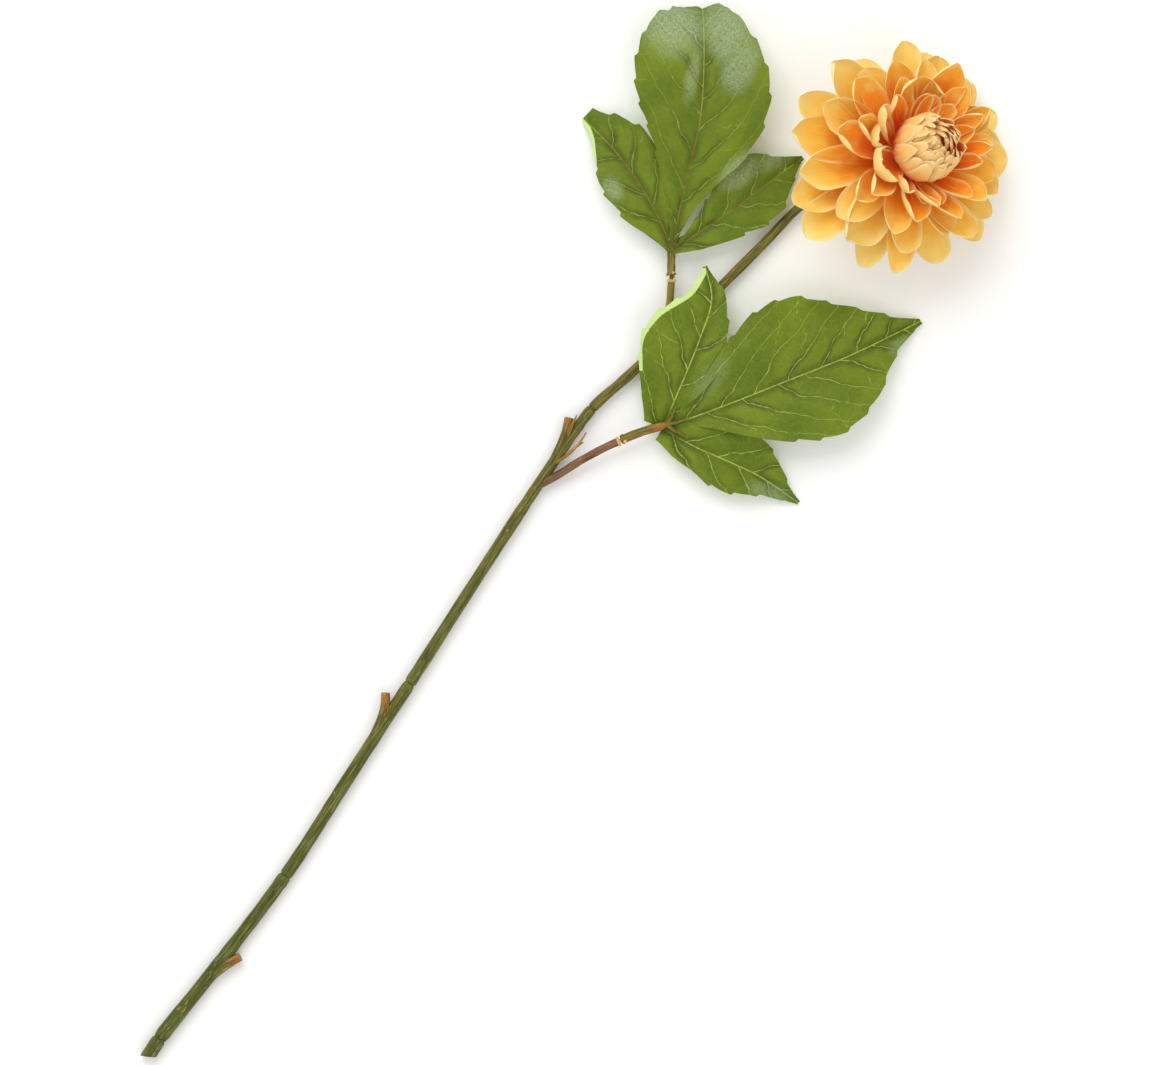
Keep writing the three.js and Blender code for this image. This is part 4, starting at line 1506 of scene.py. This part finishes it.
def place_petal(pattern, name, length, slopes, heading, base, habit):
    """A bent copy of the pattern, turned to its heading round the post."""
    copy = copy_of(pattern, name)
    mesh = edit(copy)
    length = length * MM
    ragged = petal_points(range(RAGGED_FROM, PETAL_ROWS + 1), [0, PETAL_COLUMNS])
    pick(mesh, ragged + petal_points([PETAL_ROWS]))
    bpy.ops.transform.vertex_random(
        offset=habit["ragged"] * MM, seed=dice.randrange(1, 9999)
    )
    pick(mesh, range(len(mesh.verts)))
    size(habit["wide"], 1, habit["wide"] * habit["deep"])
    bpy.ops.mesh.select_all(action="DESELECT")
    for row in range(PETAL_ROWS, 0, -1):
        pick(mesh, petal_points([row]), add=True)
        share, before = row_share(row), row_share(row - 1)
        hinge = (0, before * length, 0)
        rise = slope_at(slopes, share) - slope_at(slopes, before)
        turn(rise, "X", hinge)
        turn(habit["twist"] / PETAL_ROWS, "Y", hinge)
        turn(habit["swing"] / PETAL_ROWS, "Z", hinge)
    pick(mesh, range(len(mesh.verts)))
    size(1, habit["long"], habit["long"])
    turn(slopes[0][1], "X")
    shift(0, PETAL_START * MM, base * MM)
    turn(heading - 90, "Z")
    bpy.ops.object.mode_set(mode="OBJECT")
    remember_number(copy, "tone", dice.random())
    return copy


def random_habit(ragged, wild=1.0):
    """How one petal differs from its pattern."""
    return {
        "ragged": ragged,
        "wide": dice.uniform(0.86, 1.10),
        "deep": dice.uniform(1 - 0.22 * wild, 1 + 0.28 * wild),
        "long": dice.uniform(1 - 0.06 * wild, 1 + 0.03 * wild),
        "twist": dice.uniform(-20, 20) * wild,
        "swing": dice.uniform(-14, 14) * wild,
    }


# %% [markdown]
# ## Washer and green plastic
#
# Each layer of petals is stuck to a small plastic washer with a hole for the post. It
# could be a solid disc, since the petals hide it, but the post goes through it: the two
# flat sides of a cylinder are inset and bridged, which makes the hole, and the rims are
# bevelled. Washers, calyx and post are of the same green plastic, with faint streaks.

# %% Green plastic
calyx_finish = Finish("calyx_plastic_green", Specular_IOR_Level=0.4)
calyx_cloud = calyx_finish.noise(calyx_finish.place(), 180, 3.0)
calyx_streak = calyx_finish.noise(
    calyx_finish.scaled(calyx_finish.place(), 700, 700, 160), 1.0, 2.0
)
calyx_blend = calyx_cloud * 0.6 + calyx_streak * 0.4
calyx_green = calyx_finish.wear(
    Base_Color=calyx_finish.mix(calyx_blend, (0.085, 0.165, 0.025), (0.19, 0.29, 0.06)),
    Roughness=0.45 + calyx_cloud * 0.15,
    Normal=calyx_finish.bump(calyx_streak, 0.0004, 0.5),
)


# %% Washer that holds a layer
WASHER_R = 3.4
WASHER_HIGH = 1.3
WASHER_BEVEL = 0.2 * MM
WASHER_SIDES = 24
POST_HOLE = 1.9


def washer(name, base):
    """A disc with a hole for the post, its rims rounded."""
    bpy.ops.object.select_all(action="DESELECT")
    bpy.ops.mesh.primitive_cylinder_add(
        vertices=WASHER_SIDES,
        radius=WASHER_R * MM,
        depth=WASHER_HIGH * MM,
        location=(0, 0, base * MM),
    )
    disc = bpy.context.active_object
    disc.name = name
    bpy.ops.object.transform_apply(location=True, rotation=True, scale=True)
    bpy.ops.object.mode_set(mode="EDIT")
    bpy.ops.mesh.select_mode(type="FACE")
    bpy.ops.mesh.select_all(action="DESELECT")
    mesh = bmesh.from_edit_mesh(disc.data)
    for face in mesh.faces:
        face.select_set(abs(face.normal.z) > 0.9)
    bpy.ops.mesh.inset(thickness=(WASHER_R - POST_HOLE) * MM)
    bpy.ops.mesh.bridge_edge_loops()
    bpy.ops.mesh.select_all(action="SELECT")
    bpy.ops.mesh.normals_make_consistent(inside=False)
    bpy.ops.object.mode_set(mode="OBJECT")
    apply_modifier(disc, "BEVEL", width=WASHER_BEVEL, segments=2, limit_method="ANGLE")
    remember_flat(disc)
    remember_number(disc, "tone", 0.5)
    disc.data.materials.append(calyx_green)
    return disc


# %% [markdown]
# ## Open petal layers
#
# Seven layers open from the back of the flower to its middle. The outer ones are long,
# wide and nearly flat; further in they are shorter, more channelled and rise more
# steeply, until the innermost stand up round the bud like spoons. Copies at even steps
# would be quick, but a made flower isn't even, so every petal has its own heading and
# reach, many have one rim turned in, and a few hook over the bud. The head leans, and
# the petals on its low side lift to clear the table.

# %% Sizes of the layers, and where every petal points
LAYER_PITCH = 1.6
LAYERS = [  # length, half-width, slope at foot and tip, roll from the middle out, curl
    dict(length=54, half=9.2, rise=5, end=-4, roll=(5, 8, 12, 18), curl=2),
    dict(length=51.5, half=9.2, rise=7, end=4, roll=(6, 9, 13, 20), curl=5),
    dict(length=47, half=8.6, rise=9, end=15, roll=(7, 11, 15, 22), curl=8),
    dict(length=41, half=7.6, rise=11, end=28, roll=(8, 12, 17, 24), curl=10),
    dict(length=35.5, half=6.0, rise=13, end=42, roll=(9, 14, 20, 26), curl=10),
    dict(length=31, half=4.4, rise=15, end=54, roll=(10, 16, 24, 30), curl=10),
    dict(length=27, half=4.0, rise=16, end=62, roll=(10, 17, 25, 32), curl=14),
]
PETALS = [  # the heading, in degrees, and the reach, in millimetres, of every petal
    [(51, 50), (89, 52), (116, 51), (153, 49), (190, 55), (254, 60), (287, 53),
     (327, 49), (355, 51), (21, 45)],
    [(70, 47), (106, 50), (134, 52), (174, 55), (210, 58), (242, 59), (271, 50),
     (304, 53), (8, 47), (39, 46)],
    [(55, 42), (91, 44), (122, 44), (158, 44), (193, 48), (227, 55), (262, 48),
     (300, 45), (337, 45), (20, 43)],
    [(30, 38), (72, 38), (107, 42), (140, 42), (172, 44), (215, 43), (255, 43),
     (290, 41), (330, 39)],
    [(2, 35), (45, 34), (69, 35), (95, 35), (150, 34), (201, 37), (257, 38), (300, 34),
     (332, 35)],
    [(347, 29), (323, 27), (309, 29), (278, 26), (193, 31), (42, 29), (74, 30),
     (127, 32), (166, 29)],
    [(203, 22), (240, 22), (304, 18), (114, 27), (99, 28), (128, 26), (22, 25),
     (58, 25)],
]

# %% Petals that hook or stand over the bud
SCALLOP = dict(
    length=29, half=5.4, roll=(6, 9, 12, 18), point=12,
    slopes=[(0, 10), (0.6, 34), (1, 66)],
)
HOOKED = [(0, 10), (0.5, 26), (0.78, 48), (1, 124)]
OWN_SHAPES = {  # by layer and heading
    (5, 127): dict(
        length=39, half=11, roll=(8, 13, 19, 30), point=16, depth=(1.2, 0.8),
        blunt=0.5, slopes=[(0, 8), (0.55, 22), (0.8, 54), (1, 98)],
    ),
    (6, 203): dict(
        length=34, half=6.6, roll=(10, 16, 24, 36), other=(10, 16, 34, 76), point=9,
        blunt=0.3, slopes=HOOKED,
    ),
    (6, 240): dict(
        length=34, half=6.6, roll=(10, 16, 34, 70), other=(10, 16, 24, 36), point=9,
        blunt=0.25, slopes=HOOKED,
    ),
    (6, 304): dict(
        length=25, half=3.6, roll=(9, 14, 20, 26), point=10, blunt=0.5, twist=-10,
        slopes=[(0, 8), (0.5, 24), (0.75, 52), (1, 34)],
    ),
    (6, 114): SCALLOP,
    (6, 99): SCALLOP,
    (6, 128): SCALLOP,
}

# %% Reach and patterns of a layer
LAYER_DEPTH = (0.6, 1.1)  # of the channel, at foot and tip


def reach_of(length, slopes, steps=20):
    """How far from the axis the tip of a petal comes."""
    angles = [math.radians(slope_at(slopes, (k + 0.5) / steps)) for k in range(steps)]
    return PETAL_START + length / steps * sum(math.cos(angle) for angle in angles)


def layer_patterns(length, half, roll):
    """Patterns of a layer: even with three kinds of tip, and one rim turned in."""
    turned_in = (*roll[:2], roll[2] + 8, roll[3] + max(8, 1.4 * length - 40))
    shapes = [
        dict(roll=roll, point=12),
        dict(roll=roll, point=7),
        dict(roll=roll, point=14, blunt=0.24),
        dict(roll=roll, other=turned_in, point=9),
        dict(roll=turned_in, other=roll, point=9),
    ]
    return [petal_pattern(length, half, depth=LAYER_DEPTH, **shape) for shape in shapes]


# %% One petal of a layer
LOW_SIDE = 60  # the heading towards which the head leans
LEAN_RISE = 3  # how much steeper the foot and the tip are on that side, in degrees
LEAN_END = 13
QUIET_LAYERS = 2  # the outermost ones, whose petals swing less to the side
RAGGED = (0.2, 0.35, 0.35, 0.8)


def layer_petal(number, layer, patterns, heading, reach):
    """One petal of a layer, with its own heading and reach."""
    base = number * LAYER_PITCH + 0.2
    name = f"petal_{number}_{heading}"
    own = OWN_SHAPES.get((number, heading))
    habit = random_habit(0.4, 0.35 if own else 1.0 - 0.08 * number)
    if own:
        shape = dict(own)
        slopes = shape.pop("slopes")
        habit["twist"] += shape.pop("twist", 0)
        pattern = petal_pattern(**shape)
        petal = place_petal(pattern, name, own["length"], slopes, heading, base, habit)
        discard(pattern)
        return petal
    rise = layer["rise"] + dice.uniform(-2, 3)
    end = layer["end"] + dice.uniform(-7, 11)
    lean = math.cos(math.radians(heading - LOW_SIDE)) * (5 - number) / 5
    if number == 0:
        lean = min(lean, 0.2)
    rise += LEAN_RISE * lean
    end += LEAN_END * lean
    curl = layer["curl"] + dice.uniform(-14, 22)
    slopes = [(0, rise), (0.8, end), (1, end + curl)]
    full = reach_of(layer["length"], slopes)
    habit["long"] = (reach - PETAL_START) / (full - PETAL_START)
    habit["ragged"] = dice.choice(RAGGED)
    if number < QUIET_LAYERS:
        habit["swing"] *= 0.4
    pattern = dice.choice(patterns)
    return place_petal(pattern, name, layer["length"], slopes, heading, base, habit)


# %% Joining a layer and setting it on the post
PETAL_THICK = 0.25
head_place = Matrix.Translation(metres([HEAD_FOOT])[0]) @ HEAD_TURN


def head_piece(copies, hub, name, node, face, back, thick=PETAL_THICK):
    """Joins a layer, gives it thickness, adds its washer and sets it on the post."""
    cloth = join(copies, name)
    cloth.data.materials.append(face)
    cloth.data.materials.append(back)
    thickness = thick * MM
    apply_modifier(cloth, "SOLIDIFY", thickness=thickness, offset=-1, material_offset=1)
    apply_modifier(cloth, "SUBSURF", levels=1, render_levels=1)
    take(cloth)
    bpy.ops.object.shade_smooth()
    whole = join([cloth, hub], name)
    whole.matrix_world = head_place
    take(whole)
    bpy.ops.object.transform_apply(location=True, rotation=True, scale=True)
    hand_in(whole, node)
    return whole


# %% The seven layers
for number, (layer, petals) in enumerate(zip(LAYERS, PETALS)):
    patterns = layer_patterns(layer["length"], layer["half"], layer["roll"])
    copies = [layer_petal(number, layer, patterns, *petal) for petal in petals]
    for pattern in patterns:
        discard(pattern)
    hub = washer(f"washer_{number}", number * LAYER_PITCH)
    node = f"petal_layer_{number + 1}"
    cloth = head_piece(
        copies, hub, node + "_cloth", node, petal_face, petal_back
    )
    print("lowest point", round(min(v.co.z for v in cloth.data.vertices) / MM, 2), "mm")

# %% [markdown]
# ## The bud
#
# The middle is still closed: rows of small hooded scales rise like a cup and fold over
# one another, so that only their cream tips show over reddish gaps. One ball with a
# scaly pattern would look flat, so each scale is made as a petal, with a steeper line
# and a more ragged tip. On the side that the head leans away from, the scales are broad
# and lie flat; on the other they are narrow and pinched, and their tips stand off.

# %% Sizes of the rows
BUD_RISE = 8
BUD_ROWS = [  # count, widest radius, upright part, how far it closes, half-width
    dict(count=13, radius=16.8, tall=0.0, close=34, half=4.9),
    dict(count=12, radius=15.2, tall=1.2, close=40, half=4.6),
    dict(count=11, radius=13.4, tall=3.0, close=46, half=4.3),
    dict(count=9, radius=11.2, tall=4.8, close=54, half=3.9),
    dict(count=7, radius=8.8, tall=7.0, close=62, half=3.4),
]
BUD_HEART = dict(count=5, radius=5.8, tall=9.5, close=74, half=2.7)
FLAT_ROLL, HALF_ROLL, DEEP_ROLL = (3, 5, 8, 14), (5, 8, 12, 30), (8, 14, 24, 40)
SCALE_THICK = 0.3
SCALE_FOOT = 0.45
ROUND_TIP, BLUNT_TIP = 3.2, 5.0
STAND_OFF = 22  # how far tips can stand off on the low side, in degrees


def bud_slopes(radius, tall, close):
    """A scale's length and slopes: out to the widest place, upright, then over."""
    rise = math.radians(BUD_RISE)
    out = (radius - PETAL_START) / (1 - math.sin(rise)) * (math.pi / 2 - rise)
    over = radius * math.radians(close)
    length = out + tall + over
    slopes = [(0, BUD_RISE), (out / length, 90), ((out + tall) / length, 90)]
    return length, [*slopes, (1, 90 + close)]


# %% Making a row
def bud_row(number, row, base, name, node):
    """A row of scales: broad ones, and pinched ones where the head leans."""
    length, slopes = bud_slopes(row["radius"], row["tall"], row["close"])
    broad = [
        petal_pattern(length, row["half"] * 1.15, FLAT_ROLL, point=p, foot=SCALE_FOOT)
        for p in (ROUND_TIP, BLUNT_TIP)
    ]
    pinched = [
        petal_pattern(
            length, row["half"] * 0.9, *rolls, point=ROUND_TIP, foot=SCALE_FOOT
        )
        for rolls in ((HALF_ROLL, DEEP_ROLL), (DEEP_ROLL, HALF_ROLL))
    ]
    copies = []
    for k in range(row["count"]):
        heading = 360 * (k + 0.5 * (number % 2)) / row["count"] + dice.uniform(-6, 6)
        low = 0.5 + 0.5 * math.cos(math.radians(heading - LOW_SIDE))
        stand_off = dice.uniform(-4, 10) + STAND_OFF * low * dice.random()
        tip = slopes[-1][1]
        before = slopes[-2]
        bent = [*slopes[:-1], (0.5 + 0.5 * before[0], (tip + before[1]) / 2 + 2)]
        bent += [(1, tip - stand_off)]
        habit = random_habit(0.35 + 0.35 * low, 0.9)
        pattern = dice.choice(pinched if dice.random() < low * 0.9 else broad)
        scale = f"scale_{number}_{k}"
        copies.append(place_petal(pattern, scale, length, bent, heading, base, habit))
    for pattern in broad + pinched:
        discard(pattern)
    hub = washer(f"bud_washer_{number}", base)
    return head_piece(
        copies, hub, name, node, scale_face, scale_back, SCALE_THICK
    )


# %% The five rows
for k, row in enumerate(BUD_ROWS):
    number = len(LAYERS) + k
    node = f"bud_row_{k + 1}"
    bud_row(number, row, number * LAYER_PITCH + 0.2, node + "_cloth", node)

# %% Heart of the bud
number = len(LAYERS) + len(BUD_ROWS)
bud_row(number, BUD_HEART, number * LAYER_PITCH, "bud_heart_cloth", "bud_heart")

# %% [markdown]
# ## Calyx
#
# Under the petals a green moulded cup closes the head, with eight narrow sepals. A spin
# would turn such a cup too, but the bar's helper already draws one out ring by ring, so
# the cup is a bar along the head's own axis. A sepal is a small petal of green plastic.

# %% Calyx
CUP_RINGS = [  # height above the head's foot, and radius
    (-7.4, 2.7), (-7.3, 3.2), (-6.2, 3.9), (-5.2, 4.6), (-4.0, 5.1), (-2.8, 5.4),
    (-1.8, 5.4), (-1.4, 5.1), (-1.5, 4.5), (-2.4, 4.3),
]
CUP_SIDES = 24
SEPALS = 8
SEPAL_LENGTH = 14
SEPAL_THICK = 0.5
SEPAL_OUT = 2.2  # how far the sepals start beyond the petals' feet, and below them


def calyx():
    """The cup with its sepals, as one piece."""
    cup = bar("calyx_cup", [(z * MM, r * MM) for z, r in CUP_RINGS], 0.0, CUP_SIDES)
    edit(cup)
    bpy.ops.mesh.select_all(action="SELECT")
    turn(-90, "Y")
    bpy.ops.object.mode_set(mode="OBJECT")
    remember_number(cup, "tone", 0.5)
    pattern = petal_pattern(SEPAL_LENGTH, 2.0, (4, 6, 8, 10), foot=0.9, point=1.6)
    sepals = []
    for k in range(SEPALS):
        heading = 360 * k / SEPALS
        habit = random_habit(0.1, 0.6)
        slopes = [(0, -6), (1, -22 + dice.uniform(-6, 6))]
        sepal = place_petal(
            pattern, f"sepal_{k}", SEPAL_LENGTH, slopes, heading, -SEPAL_OUT, habit
        )
        edit(sepal)
        bpy.ops.mesh.select_all(action="SELECT")
        way = math.radians(heading)
        shift(math.cos(way) * SEPAL_OUT * MM, math.sin(way) * SEPAL_OUT * MM, 0)
        bpy.ops.object.mode_set(mode="OBJECT")
        sepals.append(sepal)
    discard(pattern)
    return head_piece(
        sepals,
        cup,
        "calyx_moulding",
        "calyx",
        calyx_green,
        calyx_green,
        SEPAL_THICK,
    )


calyx()

# %% [markdown]
# ## The solids that stay
#
# The steel wire in the stem and the post in the head are plain round bars. They are
# hidden but for a glimpse at the joints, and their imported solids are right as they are,
# so they stay and only get a finish: drawn steel with fine lines, and green plastic.

# %% Wire and post
wire_finish = Finish("drawn_steel_wire", Metallic=1.0)
wire_lines = wire_finish.noise(
    wire_finish.scaled(wire_finish.place(), 2500, 60, 2500), 1.0, 2.0
)
wire_steel = wire_finish.wear(
    Base_Color=wire_finish.mix(wire_lines, (0.30, 0.30, 0.31), (0.46, 0.46, 0.47)),
    Roughness=0.28 + wire_lines * 0.2,
    Normal=wire_finish.bump(wire_lines, 0.0001, 0.4),
)
for node, skin in (("stem_wire", wire_steel), ("head_post", calyx_green)):
    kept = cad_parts[node]
    kept.data.materials.clear()
    kept.data.materials.append(skin)
    print("kept", node)

# %% [markdown]
# ## Size
#
# The looks must not change the size of the part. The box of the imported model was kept
# at the start; both boxes are written down here, so that they can be compared.

# %% Both boxes
visual_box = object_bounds()
for key, box in (("cad", cad_box), ("visual", visual_box)):
    print(key, [[round(c, 4) for c in corner] for corner in box])
